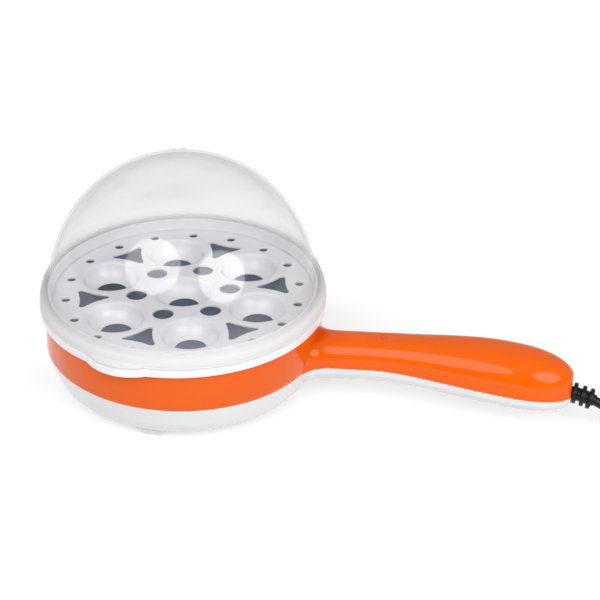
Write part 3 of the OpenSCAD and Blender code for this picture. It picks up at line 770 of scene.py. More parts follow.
def place_piece(
    obj: bpy.types.Object, body: Body, finish: Finish, nodes: Sequence[str]
) -> None:
    """Dresses a new piece and ties it to the frame.

    Args:
        obj: The piece.
        body: The body it rides on.
        finish: Its finish.
        nodes: CAD nodes that it stands for.
    """
    finish.dress(obj)
    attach(obj, body.value)
    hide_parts(*nodes)
    LOG.info("made %s on %s", obj.name, body.value)


# ---------------------------------------------------------------- camera and stage


@dataclass(frozen=True)
class SoftBox:
    """A soft box that faces the dome, placed in degrees and metres, with its size and its power in watts."""

    name: str
    turn: float
    up: float
    size: Flat
    power: float
    away: float = 1.3
    target_z: float = 0.11

    def hang(self) -> None:
        """Hangs the soft box."""
        data = bpy.data.lights.new(self.name, "AREA")
        data.shape = "ELLIPSE"
        data.size, data.size_y = self.size
        data.energy = self.power
        light = add_object(self.name, data)
        a, b = math.radians(self.turn), math.radians(self.up)
        way = Vector((math.cos(b) * math.cos(a), math.cos(b) * math.sin(a), math.sin(b)))
        light.location = Vector((SIZES.pan_x * MM, 0, self.target_z)) + way * self.away
        light.rotation_euler = way.to_track_quat("Z", "Y").to_euler()


@dataclass(frozen=True)
class Studio:
    """The camera, a pale floor and room, and two soft boxes; lengths in metres, angles in degrees."""

    camera_at: Point = (0.2545, -1.0327, 0.692)
    look_turn: float = 14.0
    look_down: float = 30.44
    lens: float = 115.8
    sensor: float = 36.0
    backdrop: Point = (0.55, 0.55, 0.55)
    ceiling: Point = (0.44, 0.44, 0.46)
    front: Point = (0.12, 0.12, 0.13)
    front_to_back: Flat = (-0.35, 0.25)
    wall_to_ceiling: Flat = (0.6, 0.8)
    white: Point = (1, 1, 1)
    paper: Point = (0.78, 0.78, 0.78)
    floor_half: float = 4.0
    middle: Point = (0.03, -0.12, 0)
    near_to_far: Flat = (0.22, 0.42)
    near_share: float = 0.3
    glow: float = 1.85
    far_glow: float = 1.02
    boxes: tuple[SoftBox, ...] = (
        SoftBox("left_box", -105.3, 39, (1.15, 1.07), 10.0),
        SoftBox("right_box", -34.3, 27, (0.96, 0.93), 9.0),
    )

    def camera(self) -> None:
        """Places the camera."""
        data = bpy.data.cameras.new("camera")
        data.lens = self.lens
        data.sensor_width = self.sensor
        camera = add_object("camera", data)
        camera.location = self.camera_at
        camera.rotation_euler = (math.radians(90 - self.look_down), 0, math.radians(self.look_turn))
        bpy.context.scene.camera = camera

    def floor(self) -> None:
        """Lays the pale floor, which keeps the shadows and lets a camera under it see the object."""
        bm = bmesh.new()
        bmesh.ops.create_grid(bm, x_segments=1, y_segments=1, size=self.floor_half)
        floor = add_object("floor", new_mesh(bm, "floor"))
        g = Graph.material("floor_paper")
        seen, glossy, through = [
            g.node("ShaderNodeLightPath", output=f"Is {kind} Ray")
            for kind in ("Camera", "Glossy", "Transmission")]
        place = g.node("ShaderNodeTexCoord", output="Object")
        away = g.node(
            "ShaderNodeVectorMath", {0: place, 1: self.middle}, output="Value", operation="DISTANCE")
        share = (seen + glossy + through) * g.ramp(away, *self.near_to_far, self.near_share, 1.0)
        level = g.ramp(away, *self.near_to_far, 1.0, self.far_glow / self.glow)
        paper = g.node("ShaderNodeBsdfDiffuse", {"Color": (*self.paper, 1)})
        glow = g.node("ShaderNodeEmission", {"Color": level, "Strength": self.glow})
        from_below = g.node("ShaderNodeNewGeometry", output="Backfacing")
        shown = g.mix(from_below, g.mix(share, paper, glow), g.clear(self.white))
        floor.data.materials.append(g.finish(shown))

    def world(self) -> None:
        """Makes the pale room that fills the shadows, white where the camera sees it."""
        g = Graph(bpy.data.worlds.new("room"))
        way = g.node("ShaderNodeTexCoord", output="Generated")
        depth = g.node("ShaderNodeSeparateXYZ", {0: way}, output="Y")
        up = g.node("ShaderNodeSeparateXYZ", {0: way}, output="Z")
        walls = g.blend(g.ramp(depth, *self.front_to_back), self.front, self.backdrop)
        room = g.blend(g.ramp(up, *self.wall_to_ceiling), walls, self.ceiling)
        seen = g.node("ShaderNodeLightPath", output="Is Camera Ray")
        light = g.node("ShaderNodeBackground", {"Color": g.blend(seen, room, self.white), "Strength": 1.0})
        bpy.context.scene.world = g.finish(light)

    def build(self) -> None:
        """Sets up everything but the camera."""
        self.floor()
        self.world()
        for box in self.boxes:
            box.hang()


# ---------------------------------------------------------------- mains cord


@dataclass(frozen=True)
class StrainRelief:
    """The black sleeve at the handle's end: a stem and a flange inside, three discs and a nose."""

    stem_r: float = 4.2
    stem_in: float = 7.3
    stem_edge: float = 0.3
    flange_r: float = 5.6
    flange_w: float = 2.0
    flange_out: float = 5.0
    disc_r: float = 6.7
    disc_w: float = 2.6
    disc_edge: float = 0.55
    first_out: float = 2.0
    first_drop: float = 0.1
    gaps: Flat = (5.3, 4.7)
    tilts: Point = (5.0, 10.0, 15.0)
    neck_r: float = 4.3
    neck_edge: float = 0.2
    nose_r: float = 3.8
    nose_l: float = 2.5
    nose_edge: float = 0.4
    nose_tilt: float = 22.0
    sunk: float = 0.8
    mouth_out: float = 3.5

    @staticmethod
    def way(tilt: float) -> Vector:
        """Gives the direction away from the handle, tilted downwards by some degrees."""
        return Vector((math.cos(math.radians(tilt)), 0, -math.sin(math.radians(tilt))))

    def discs(self) -> list[Vector]:
        """Finds the middles of the discs, about the pan's axis.

        Returns:
            The middles, from the handle outwards.
        """
        first = Vector((SIZES.reach + self.first_out, 0, SIZES.seam_at(SIZES.reach) - self.first_drop))
        row = self.way(self.tilts[-1])
        return [first, first + self.gaps[0] * row, first + sum(self.gaps) * row]

    def mouth(self) -> Vector:
        """Gives the point where the cord comes out of the nose."""
        return self.discs()[-1] + self.mouth_out * self.way(self.nose_tilt)

    def build(self) -> bpy.types.Object:
        """Moulds the sleeve.

        Returns:
            The piece.
        """
        bm = bmesh.new()
        discs = self.discs()
        back = Vector((SIZES.reach - SIZES.wall - self.stem_in, 0, SIZES.seam_at(SIZES.reach)))
        flange = back + Vector((self.flange_out, 0, 0))
        add_cylinder(bm, standing(back, 90), self.stem_r, discs[0].x - back.x - self.sunk, self.stem_edge)
        add_cylinder(bm, standing(flange, 90), self.flange_r, self.flange_w, self.stem_edge)
        half_back = Matrix.Translation((0, 0, -self.disc_w / 2))
        for at, tilt in zip(discs, self.tilts):
            add_cylinder(bm, standing(at, 90 + tilt) @ half_back, self.disc_r, self.disc_w, self.disc_edge)
        sink = Matrix.Translation((0, 0, self.sunk))
        for at, gap in zip(discs, self.gaps):
            stand = standing(at, 90 + self.tilts[-1]) @ sink
            add_cylinder(bm, stand, self.neck_r, gap - 2 * self.sunk, self.neck_edge)
        stand = standing(discs[-1], 90 + self.nose_tilt) @ sink
        add_cylinder(bm, stand, self.nose_r, self.nose_l, self.nose_edge)
        piece = finish_mesh(bm, "relief_boot")
        place_piece(piece, Body.BASE, Finish.BLACK, ("strain_relief",))
        return piece


@dataclass(frozen=True)
class Plug:
    """The plug, with its back at its own origin and its two round pins along its own +X."""

    at: Flat = (334.6, 82.8)
    turn: float = 176.0
    thick: float = 14.0
    side: tuple[Flat, ...] = ((11, 6), (15, 9), (20, 10.6), (26, 13.5), (36, 13.5))
    edge: float = 1.8
    neck_r: float = 4.6
    neck_l: float = 13.0
    neck_edge: float = 0.8
    pins_apart: float = 19.0
    pin_r: float = 2.0
    pin_l: float = 19.0
    pin_edge: float = 0.8

    def stand(self) -> Matrix:
        """Gives the plug's own frame, about the pan's axis."""
        turn = Matrix.Rotation(math.radians(self.turn), 4, "Z")
        return Matrix.Translation((*self.at, self.thick / 2)) @ turn

    def body(self) -> bpy.types.Object:
        """Moulds the body, a flat block that widens to its face, with rounded edges.

        Returns:
            The piece.
        """
        bm = bmesh.new()
        outline = self.side + tuple((x, -y) for x, y in reversed(self.side))
        face = bm.faces.new([bm.verts.new((x, y, -self.thick / 2)) for x, y in outline])
        grown = bmesh.ops.extrude_face_region(bm, geom=[face])["geom"]
        top = [v for v in grown if isinstance(v, bmesh.types.BMVert)]
        bmesh.ops.translate(bm, verts=top, vec=(0, 0, self.thick))
        round_edges(bm, list(bm.edges), self.edge, 4)
        add_cylinder(bm, standing((0, 0, 0), 90), self.neck_r, self.neck_l, self.neck_edge)
        piece = finish_mesh(bm, "plug_shell", place=self.stand())
        place_piece(piece, Body.BASE, Finish.BLACK, ("plug_body",))
        return piece

    def pins(self) -> bpy.types.Object:
        """Turns the two pins.

        Returns:
            The piece.
        """
        bm = bmesh.new()
        face_x = self.side[-1][0]
        for y in (-self.pins_apart / 2, self.pins_apart / 2):
            add_cylinder(bm, standing((face_x, y, 0), 90), self.pin_r, self.pin_l, self.pin_edge, sides=32)
        piece = finish_mesh(bm, "plug_contacts", place=self.stand())
        place_piece(piece, Body.BASE, Finish.PIN, ("plug_pins",))
        return piece


@dataclass
class MainsCord:
    """The mains cord: it falls from its strain relief, lies in a tied coil and ends at its plug.

    The coil's changes are given by how far the cord has turned, in degrees.
    """

    boot: StrainRelief = field(default_factory=StrainRelief)
    plug: Plug = field(default_factory=Plug)
    radius: float = 3.1
    steps: int = 6
    round_steps: int = 5
    coil_at: Flat = (345.0, 38.0)
    coil_r: float = 35.0
    lift: float = 0.8
    knots: int = 63
    first_turn: float = -90.0
    knot_turn: float = 20.0
    inwards_at: float = 210.0
    upwards_at: float = 510.0
    outwards_at: float = 810.0
    change: float = 60.0
    tie_half: float = 7.0
    tie_wall: float = 0.65
    tie_w: float = 4.0
    tie_r: float = 2.5
    tie_turn: float = 225.0
    run: list[Point] = field(default_factory=lambda: [
        (274.5, 0, 17.8), (281, 0, 14.7), (288, 0, 11.4), (295, 0, 8.4), (302, 0, 6), (309, 0, 4.4),
        (316, 0, 3.7), (322, 0, 3.5), (327, 0, 3.6)])
    tail: list[Point] = field(default_factory=lambda: [
        (349, 79.5, 9.2), (345, 81.3, 8.4), (341, 82.3, 7.7), (338, 82.7, 7.2), (335, 82.8, 7)])

    def route(self) -> list[Point]:
        """Works out the cord's centreline.

        Returns:
            Points about the pan's axis, in millimetres, from the strain relief to the plug.
        """
        return [tuple(self.boot.mouth())] + self.run + self.coil() + self.tail

    def coil(self) -> list[Point]:
        """Winds the coil: outer and inner turn on the floor, then inner and outer turn on top of them.

        Returns:
            Points about the pan's axis, in millimetres.
        """
        def past(turned: float, start: float) -> float:
            """Gives how far the change that starts there has come."""
            return smooth_step((turned - start) / self.change)

        outer, inner = self.coil_r + self.radius, self.coil_r - self.radius
        points: list[Point] = []
        for k in range(self.knots):
            turned = self.first_turn + self.knot_turn * k
            inwards = past(turned, self.inwards_at) - past(turned, self.outwards_at)
            r = outer + (inner - outer) * inwards
            z = self.lift + self.radius + 2 * self.radius * past(turned, self.upwards_at)
            a = math.radians(turned)
            points.append((self.coil_at[0] + r * math.cos(a), self.coil_at[1] + r * math.sin(a), z))
        return points

    def build(self) -> None:
        data = bpy.data.curves.new("power_lead", "CURVE")
        data.dimensions = "3D"
        data.resolution_u = self.steps
        data.bevel_depth = self.radius * MM
        data.bevel_resolution = self.round_steps
        data.use_fill_caps = True
        spline = data.splines.new("BEZIER")
        points = self.route()
        spline.bezier_points.add(len(points) - 1)
        for knot, (x, y, z) in zip(spline.bezier_points, points):
            knot.co = ((x + SIZES.pan_x) * MM, y * MM, z * MM)
            knot.handle_left_type = knot.handle_right_type = "AUTO"
        lead = add_object("power_lead", data)
        place_piece(lead, Body.BASE, Finish.BLACK, ("power_cord", "cord_coil", "cord_tail"))
        x, y, z = points[0]
        (x + SIZES.pan_x) * MM
        y * MM
        z * MM
        self.boot.build()
        self.plug.body()
        self.plug.pins()
        self.tie()

    def tie(self) -> bpy.types.Object:
        """Bends the square tie that holds the coil.

        Returns:
            The piece.
        """
        bm = bmesh.new()
        edges_y = (-self.tie_w / 2, self.tie_w / 2)
        for half in (self.tie_half, self.tie_half - self.tie_wall):
            corners = [(-half, -half), (half, -half), (half, half), (-half, half)]
            ring = fillet(corners, dict.fromkeys(range(4), self.tie_r))
            for y in edges_y:
                verts = [bm.verts.new((x, y, z)) for x, z in ring]
                for a, b in zip(verts, verts[1:] + verts[:1]):
                    bm.edges.new((a, b))
            loops = [e for e in bm.edges if not e.link_faces]
            bmesh.ops.bridge_loops(bm, edges=loops[-2 * len(ring):])
        rims = [e for e in bm.edges if len(e.link_faces) == 1]
        for y in edges_y:
            bmesh.ops.bridge_loops(bm, edges=[e for e in rims if abs(e.verts[0].co.y - y) < TOUCH_MM])
        stand = (Matrix.Translation((*self.coil_at, 0))
                 @ Matrix.Rotation(math.radians(self.tie_turn), 4, "Z")
                 @ Matrix.Translation((self.coil_r, 0, self.lift + 2 * self.radius)))
        piece = finish_mesh(bm, "tie_band", place=stand)
        place_piece(piece, Body.BASE, Finish.BLACK, ("cord_tie",))
        return piece


# ---------------------------------------------------------------- housings


@dataclass(frozen=True)
class Handle:
    """The handle's top: a neck that swells into a grip, and a rounded end, about the pan's axis."""

    neck_half: float = 15.0
    grip_half: float = 21.3
    neck_top: float = 16.8
    grip_top: float = 23.7
    side_neck: float = 40.0
    top_neck: float = 34.0
    grip_back: float = 43.0
    root: float = 16.0
    start_share: float = 0.9565
    crowding: float = 1.5
    power: float = 2.4
    cap_back: float = 40.0
    cap_l: float = 42.0
    cap_power: float = 2.4
    cap_top: float = 0.5
    dish_r: float = 8.0
    dish_depth: float = 1.0
    dish_edge: float = 0.12

    def end_cap(self, x: float) -> float:
        """Rounds off the handle's end.

        Args:
            x: Distance from the pan's axis.

        Returns:
            A factor from 1 down to the end's share.
        """
        t = max(0.0, (x - (SIZES.reach - self.cap_back)) / self.cap_l)
        return math.sqrt(1 - t ** self.cap_power)

    def swell(self, x: float, neck: float) -> float:
        """Runs from the neck to the grip.

        Args:
            x: Distance from the pan's axis.
            neck: Length of the neck.

        Returns:
            0 at the neck and 1 at the grip.
        """
        start, end = SIZES.body_r + neck, SIZES.reach - self.grip_back
        return smooth_step((x - start) / (end - start))

    def half_width(self, x: float) -> float:
        """Gives half the handle's width, with the fillets at its root.

        Args:
            x: Distance from the pan's axis.

        Returns:
            The half width.
        """
        side = self.neck_half + self.root
        fillet_x = math.sqrt((SIZES.body_r + self.root) ** 2 - side ** 2)
        root_x = SIZES.body_r * fillet_x / (SIZES.body_r + self.root)
        if x < fillet_x:
            return side - math.sqrt(self.root ** 2 - (fillet_x - max(x, root_x)) ** 2)
        wider = (self.grip_half - self.neck_half) * self.swell(x, self.side_neck)
        return (self.neck_half + wider) * self.end_cap(x)

    def height(self, x: float) -> float:
        """Gives the height of the handle's top above the seam.

        Args:
            x: Distance from the pan's axis.

        Returns:
            The height.
        """
        rise = (self.grip_top - self.neck_top) * self.swell(x, self.top_neck)
        return (self.neck_top + rise) * self.end_cap(x) ** self.cap_top

    def rounded(self, value: float) -> float:
        """Turns a circle's sine or cosine into a squarer section's."""
        return math.copysign(abs(value) ** (2 / self.power), value)

    def surface(self, u: float, v: float) -> Point:
        """Gives a point of the handle's top.

        Args:
            u: Place along the handle, from inside the body to its end.
            v: Place across it, from one side of the seam over the top to the other.

        Returns:
            The point, about the pan's axis.
        """
        start = SIZES.body_r * self.start_share
        x = start + (SIZES.reach - start) * (1 - (1 - u) ** self.crowding)
        a = math.pi * v
        y = -self.half_width(x) * self.rounded(math.cos(a))
        z = SIZES.seam_at(x) + self.height(x) * self.rounded(math.sin(a))
        return x, y, self.dished(x, y, z)

    def dished(self, x: float, y: float, z: float) -> float:
        """Sinks the top of the handle into the shallow dish round the lamp.

        Args:
            x: Distance from the pan's axis.
            y: Distance beside the handle's middle.
            z: Height of the plain surface.

        Returns:
            The height with the dish.
        """
        low, high = box_mm("indicator_lens")
        lamp_x = (low.x + high.x) / 2 - SIZES.pan_x
        ball = (self.dish_r ** 2 + self.dish_depth ** 2) / (2 * self.dish_depth)
        away = (x - lamp_x) ** 2 + y ** 2
        if away > (2 * self.dish_r) ** 2:
            return z
        crown = SIZES.seam_at(lamp_x) + self.height(lamp_x)
        floor = crown - self.dish_depth + ball - math.sqrt(ball ** 2 - away)
        return (z + floor - math.sqrt((z - floor) ** 2 + self.dish_edge ** 2)) / 2


@dataclass
class UpperHousing:
    """The orange upper shell: the band round the pan and the top of the handle."""

    handle: Handle = field(default_factory=Handle)
    chamfer: float = 2.4
    chamfer_r: Flat = (2.0, 1.0)
    lip_w: float = 5.0
    skirt: float = 1.0
    cord_hole_r: float = 4.6
    seam_gap: float = 0.05
    seam_edge: float = 0.35

    def build(self) -> None:
        """Makes the shell."""
        s = SIZES
        bm = bmesh.new()
        inner, lip, skirt = s.body_r - s.wall, s.body_r - self.lip_w, s.seam_dip + self.skirt
        outline = [
            (s.body_r - skirt * math.tan(math.radians(s.side_lean)), s.seam_z - skirt),
            (s.body_r, s.seam_z), (s.body_r, s.lip_z - self.chamfer), (s.body_r - self.chamfer, s.lip_z),
            (lip, s.lip_z), (lip, s.lip_z - s.wall), (inner, s.lip_z - s.wall), (inner, s.seam_z - skirt),
        ]
        add_spin(bm, fillet(outline, {2: self.chamfer_r[0], 3: self.chamfer_r[1]}, 6), 256)
        self.cut_seam(bm)
        faces = add_surface(bm, self.handle.surface, 220, 96)
        self.close_end(bm)
        bmesh.ops.recalc_face_normals(bm, faces=faces)
        shell = finish_mesh(bm, "orange_shell", sharp=38)
        place_piece(shell, Body.BASE, Finish.ORANGE, ("upper_housing",))

    def cut_seam(self, bm: bmesh.types.BMesh) -> None:
        """Cuts the ring on the tilted plane of the seam, and softens the cut's outer edge.

        Args:
            bm: Geometry of the ring.
        """
        s = SIZES
        made = bmesh.ops.bisect_plane(
            bm, geom=bm.verts[:] + bm.edges[:] + bm.faces[:], clear_inner=True,
            plane_co=(-s.body_r, 0, s.seam_z + self.seam_gap), plane_no=(s.seam_dip / (2 * s.body_r), 0, 1),
        )
        rims = [e for e in made["geom_cut"] if isinstance(e, bmesh.types.BMEdge)]
        bmesh.ops.bridge_loops(bm, edges=rims)
        outer = [e for e in rims if math.hypot(*e.verts[0].co.xy) > s.body_r - s.wall / 2]
        round_edges(bm, outer, self.seam_edge)

    def close_end(self, bm: bmesh.types.BMesh) -> None:
        """Closes the handle's end down to the hole for the strain relief.

        Args:
            bm: Geometry of the ring and the handle's top.
        """
        end, seam = SIZES.reach, SIZES.seam_at(SIZES.reach)
        rim = [e for e in bm.edges if all(abs(v.co.x - end) < TOUCH_MM for v in e.verts)]
        grown = bmesh.ops.extrude_edge_only(bm, edges=rim)["geom"]
        for vert in [g for g in grown if isinstance(g, bmesh.types.BMVert)]:
            y, z = vert.co.y, vert.co.z - seam
            k = self.cord_hole_r / max(math.hypot(y, z), TOUCH_MM)
            vert.co = (end, y * k, seam + z * k)


# ---------------------------------------------------------------- tray and lid


@dataclass(frozen=True)
class Ears:
    """The two lifting ears that the tray's rim and the lid's foot share, each within a spread in radians."""

    turns: Flat = (79.6, 259.6)
    out: float = 5.2
    width: float = 41.6
    spread: float = 0.5
    step: float = 1.5
    fine_step: float = 0.12

    @property
    def radius(self) -> float:
        """Gives the radius of an ear's round outline."""
        rise = self.out + SIZES.rim_r - math.sqrt(SIZES.rim_r ** 2 - (self.width / 2) ** 2)
        return ((self.width / 2) ** 2 + rise ** 2) / (2 * rise)

    def reach(self, degrees: float, shrink: float) -> float:
        """Gives the outline's radius in a direction.

        Args:
            degrees: Direction from the handle.
            shrink: How far the ear's outline is drawn in.

        Returns:
            The radius.
        """
        centre = SIZES.rim_r + self.out - self.radius
        best = SIZES.rim_r
        for turn in self.turns:
            a = math.radians((degrees - turn + 180) % 360 - 180)
            if abs(a) < self.spread:
                across = (self.radius - shrink) ** 2 - (centre * math.sin(a)) ** 2
                if across > 0:
                    best = max(best, centre * math.cos(a) + math.sqrt(across))
        return best

    def angles(self) -> list[float]:
        """Gives directions round the rim, close together about the ears' ends.

        Returns:
            Directions in degrees, from 0 up to 360.
        """
        coarse = [self.step * k for k in range(round(360 / self.step))]
        end = math.degrees(math.asin(self.width / 2 / SIZES.rim_r))
        fine = [turn + side * (end + self.fine_step * k)
                for turn in self.turns for side in (-1, 1) for k in range(-8, 9)]
        return sorted({round(a % 360, 3) for a in coarse + fine}) + [360.0]


EARS = Ears()


def add_rim(bm: bmesh.types.BMesh, profile: Sequence[tuple[float, float, bool]], shrink: float) -> None:
    """Turns an outline whose marked points follow the ears.

    Args:
        bm: Geometry that it is added to.
        profile: Points of (radius, height, whether it follows the ears).
        shrink: How far the ears are drawn in.
    """
    angles = EARS.angles()
    count, rows = len(angles) - 1, len(profile) - 1

    def at(u: float, v: float) -> Point:
        """Gives a point from its places round the rim and along its outline."""
        degrees = angles[round(u * count)]
        r, z, follows = profile[round(v * rows)]
        radius = EARS.reach(degrees, shrink) - (SIZES.rim_r - r) if follows else r
        a = math.radians(degrees)
        return radius * math.cos(a), radius * math.sin(a), z

    add_surface(bm, at, count, rows)


def polar(r: float, degrees: float) -> Vector:
    """Gives the flat point at a distance in a direction."""
    return Vector((r * math.cos(math.radians(degrees)), r * math.sin(math.radians(degrees))))


def circle(x: float, y: float, r: float, sides: int) -> list[Flat]:
    """Draws a circle.

    Args:
        x: Its middle's first coordinate.
        y: Its middle's second coordinate.
        r: Its radius.
        sides: Its sides.

    Returns:
        Its outline.
    """
    turns = [math.tau * k / sides for k in range(sides)]
    return [(x + r * math.cos(a), y + r * math.sin(a)) for a in turns]


@dataclass
class EggTray:
    """The white tray: seven cups, round and three-pointed holes, and the rim that carries the lid."""

    turn: float = 21.8
    wall: float = 1.7
    cup_r: float = 17.7
    cup_gap: float = 2.0
    cup_joint: float = 0.4
    shoulder_r: float = 2.2
    hole_r: float = 10.2
    hole_edge: float = 0.35
    depth: float = 11.4
    ring_r: float = 52.4
    steam_r: float = 6.7
    steam_ring_r: float = 30.3
    star_r: float = 12.6
    star_tip_r: float = 2.2
    star_sag: float = 1.0
    star_ring_r: float = 60.6
    drops: int = 18
    drop_r: float = 2.9
    drop_ring_r: float = 76.0
    edge: float = 0.45
    rib_back: float = 5.8
    rib_w: float = 1.6
    floor_lap: float = 1.2
    step_back: float = 2.1
    step_h: float = 2.4
    lip_w: float = 1.6
    lip_h: float = 5.2
    under_back: float = 4.0

    @property
    def rib_in(self) -> float:
        """Gives the radius inside the rib."""
        return SIZES.rim_r - self.rib_back - self.rib_w

    def cup_middles(self) -> list[Flat]:
        """Finds the cups.

        Returns:
            The cups' middles.
        """
        return [(0.0, 0.0)] + [tuple(polar(self.ring_r, self.turn + 30 + 60 * k)) for k in range(6)]

    def star(self, turn: float) -> list[Flat]:
        """Draws a three-pointed hole with round tips, whose sides curve inwards.

        Args:
            turn: Its direction from the handle, in degrees.

        Returns:
            Its outline.
        """
        out: list[Vector] = []
        tip_out = self.star_r - self.star_tip_r
        for a in (180, 300, 420):
            out += [polar(tip_out, a) + polar(self.star_tip_r, a + 15 * i) for i in range(-4, 5)]
            end = polar(tip_out, a + 120) + polar(self.star_tip_r, a + 60)
            start, inward = out[-1], polar(-self.star_sag, a + 60)
            out += [start.lerp(end, i / 10) + inward * 4 * (i / 10) * (1 - i / 10) for i in range(1, 10)]
        spin = Matrix.Rotation(math.radians(turn), 2)
        return [tuple(spin @ (p + Vector((self.star_ring_r, 0)))) for p in out]

    def outlines(self) -> list[list[Flat]]:
        """Draws every outline of the tray's floor.

        Returns:
            The outer circle, then the holes.
        """
        out = [circle(0, 0, self.rib_in - self.floor_lap, 240)]
        out += [circle(x, y, self.cup_r + self.cup_gap, 72) for x, y in self.cup_middles()]
        for k in range(6):
            out.append(circle(*polar(self.steam_ring_r, self.turn + 60 * k), self.steam_r, 40))
            out.append(self.star(self.turn + 60 * k))
        for k in range(self.drops):
            out.append(circle(*polar(self.drop_ring_r, self.turn + 360 / self.drops * k), self.drop_r, 24))
        return out

    def floor(self) -> bmesh.types.BMesh:
        """Cuts the tray's floor as a filled curve, with softened hole edges.

        Returns:
            Its geometry.
        """
        data = bpy.data.curves.new("tray_floor", "CURVE")
        data.dimensions = "2D"
        data.fill_mode = "BOTH"
        data.extrude = self.wall / 2 - self.edge
        data.bevel_depth = self.edge
        data.bevel_resolution = 2
        data.offset = -self.edge
        for outline in self.outlines():
            spline = data.splines.new("POLY")
            spline.points.add(len(outline) - 1)
            for knot, (x, y) in zip(spline.points, outline):
                knot.co = (x, y, 0, 1)
            spline.use_cyclic_u = True
        helper = add_object("tray_floor", data)
        bpy.context.view_layer.update()
        mesh = bpy.data.meshes.new_from_object(helper.evaluated_get(bpy.context.evaluated_depsgraph_get()))
        bm = bmesh.new()
        bm.from_mesh(mesh)
        bpy.data.objects.remove(helper)
        bpy.data.curves.remove(data)
        bpy.data.meshes.remove(mesh)
        bmesh.ops.translate(bm, verts=bm.verts, vec=(0, 0, SIZES.tray_top - self.wall / 2))
        return bm

    def cup(self) -> list[Flat]:
        """Draws one cup's wall.

        Returns:
            Points of (radius, height), down inside and up outside.
        """
        top, r = SIZES.tray_top, self.shoulder_r
        deep = self.depth / math.sqrt(1 - (self.hole_r / self.cup_r) ** 2)
        downs = [self.depth * i / 16 for i in range(17)]
        inside = [(self.cup_r * math.sqrt(1 - (d / deep) ** 2), top - d) for d in downs if d > r + 0.1]
        turns = [math.radians(15 * i) for i in range(7)]
        shoulder = [(self.cup_r + r - r * math.sin(a), top - r + r * math.cos(a)) for a in turns]
        outside = [(x + self.wall, z) for x, z in reversed(inside)]
        hole = [(self.hole_r + self.wall / 2, top - self.depth - self.hole_edge)]
        joint = [(self.cup_r + self.wall + self.cup_joint, top - self.wall)]
        return shoulder + inside + hole + outside + joint

    def rim(self) -> list[tuple[float, float, bool]]:
        """Draws the section of the rim: the rib inside, the step, the lip and the underside.

        Returns:
            Points of (radius, height, whether it follows the ears).
        """
        s = SIZES
        floor, under, rib_top = s.tray_top, s.tray_top - self.wall, s.tray_top + s.rib_h
        rib_in, rib_out, lap = self.rib_in, s.rim_r - self.rib_back, self.rib_in - self.floor_lap
        step_r, lip_in, back = s.rim_r - self.step_back, s.rim_r - self.lip_w, s.rim_r - self.under_back
        ledge = floor - self.step_h
        low, below = ledge - self.lip_h, ledge - self.wall
        corners = [
            (lap, floor, False), (rib_in, floor, False), (rib_in, rib_top, False), (rib_out, rib_top, False),
            (rib_out, floor, False), (step_r, floor, False), (step_r, ledge, False), (s.rim_r, ledge, True),
            (s.rim_r, low, True), (lip_in, low, True), (lip_in, below, True), (back, below, False),
            (back, under, False), (lap, under, False),
        ]
        radii = {1: 0.9, 2: 0.7, 3: 0.7, 4: 0.8, 7: 0.7, 8: 0.6, 9: 0.5}
        out: list[tuple[float, float, bool]] = []
        for i, corner in enumerate(corners):
            if i in radii:
                around = [c[:2] for c in corners[i - 1:i + 2]]
                out += [(r, z, corner[2]) for r, z in fillet(around, {1: radii[i]}, 4)[1:-1]]
            else:
                out.append(corner)
        return out

    def build(self) -> None:
        """Makes the tray."""
        bm = self.floor()
        outline = self.cup()
        for x, y in self.cup_middles():
            own = bmesh.new()
            add_spin(own, outline, 72, closed=False)
            bmesh.ops.translate(own, verts=own.verts, vec=(x, y, 0))
            part = new_mesh(own, "cup")
            bm.from_mesh(part)
            bpy.data.meshes.remove(part)
        add_rim(bm, self.rim(), 0.0)
        tray = finish_mesh(bm, "steam_tray", sharp=50)
        tray.modifiers.new("even_shading", "WEIGHTED_NORMAL").keep_sharp = True
        place_piece(tray, Body.TRAY, Finish.TRAY, ("egg_tray",))


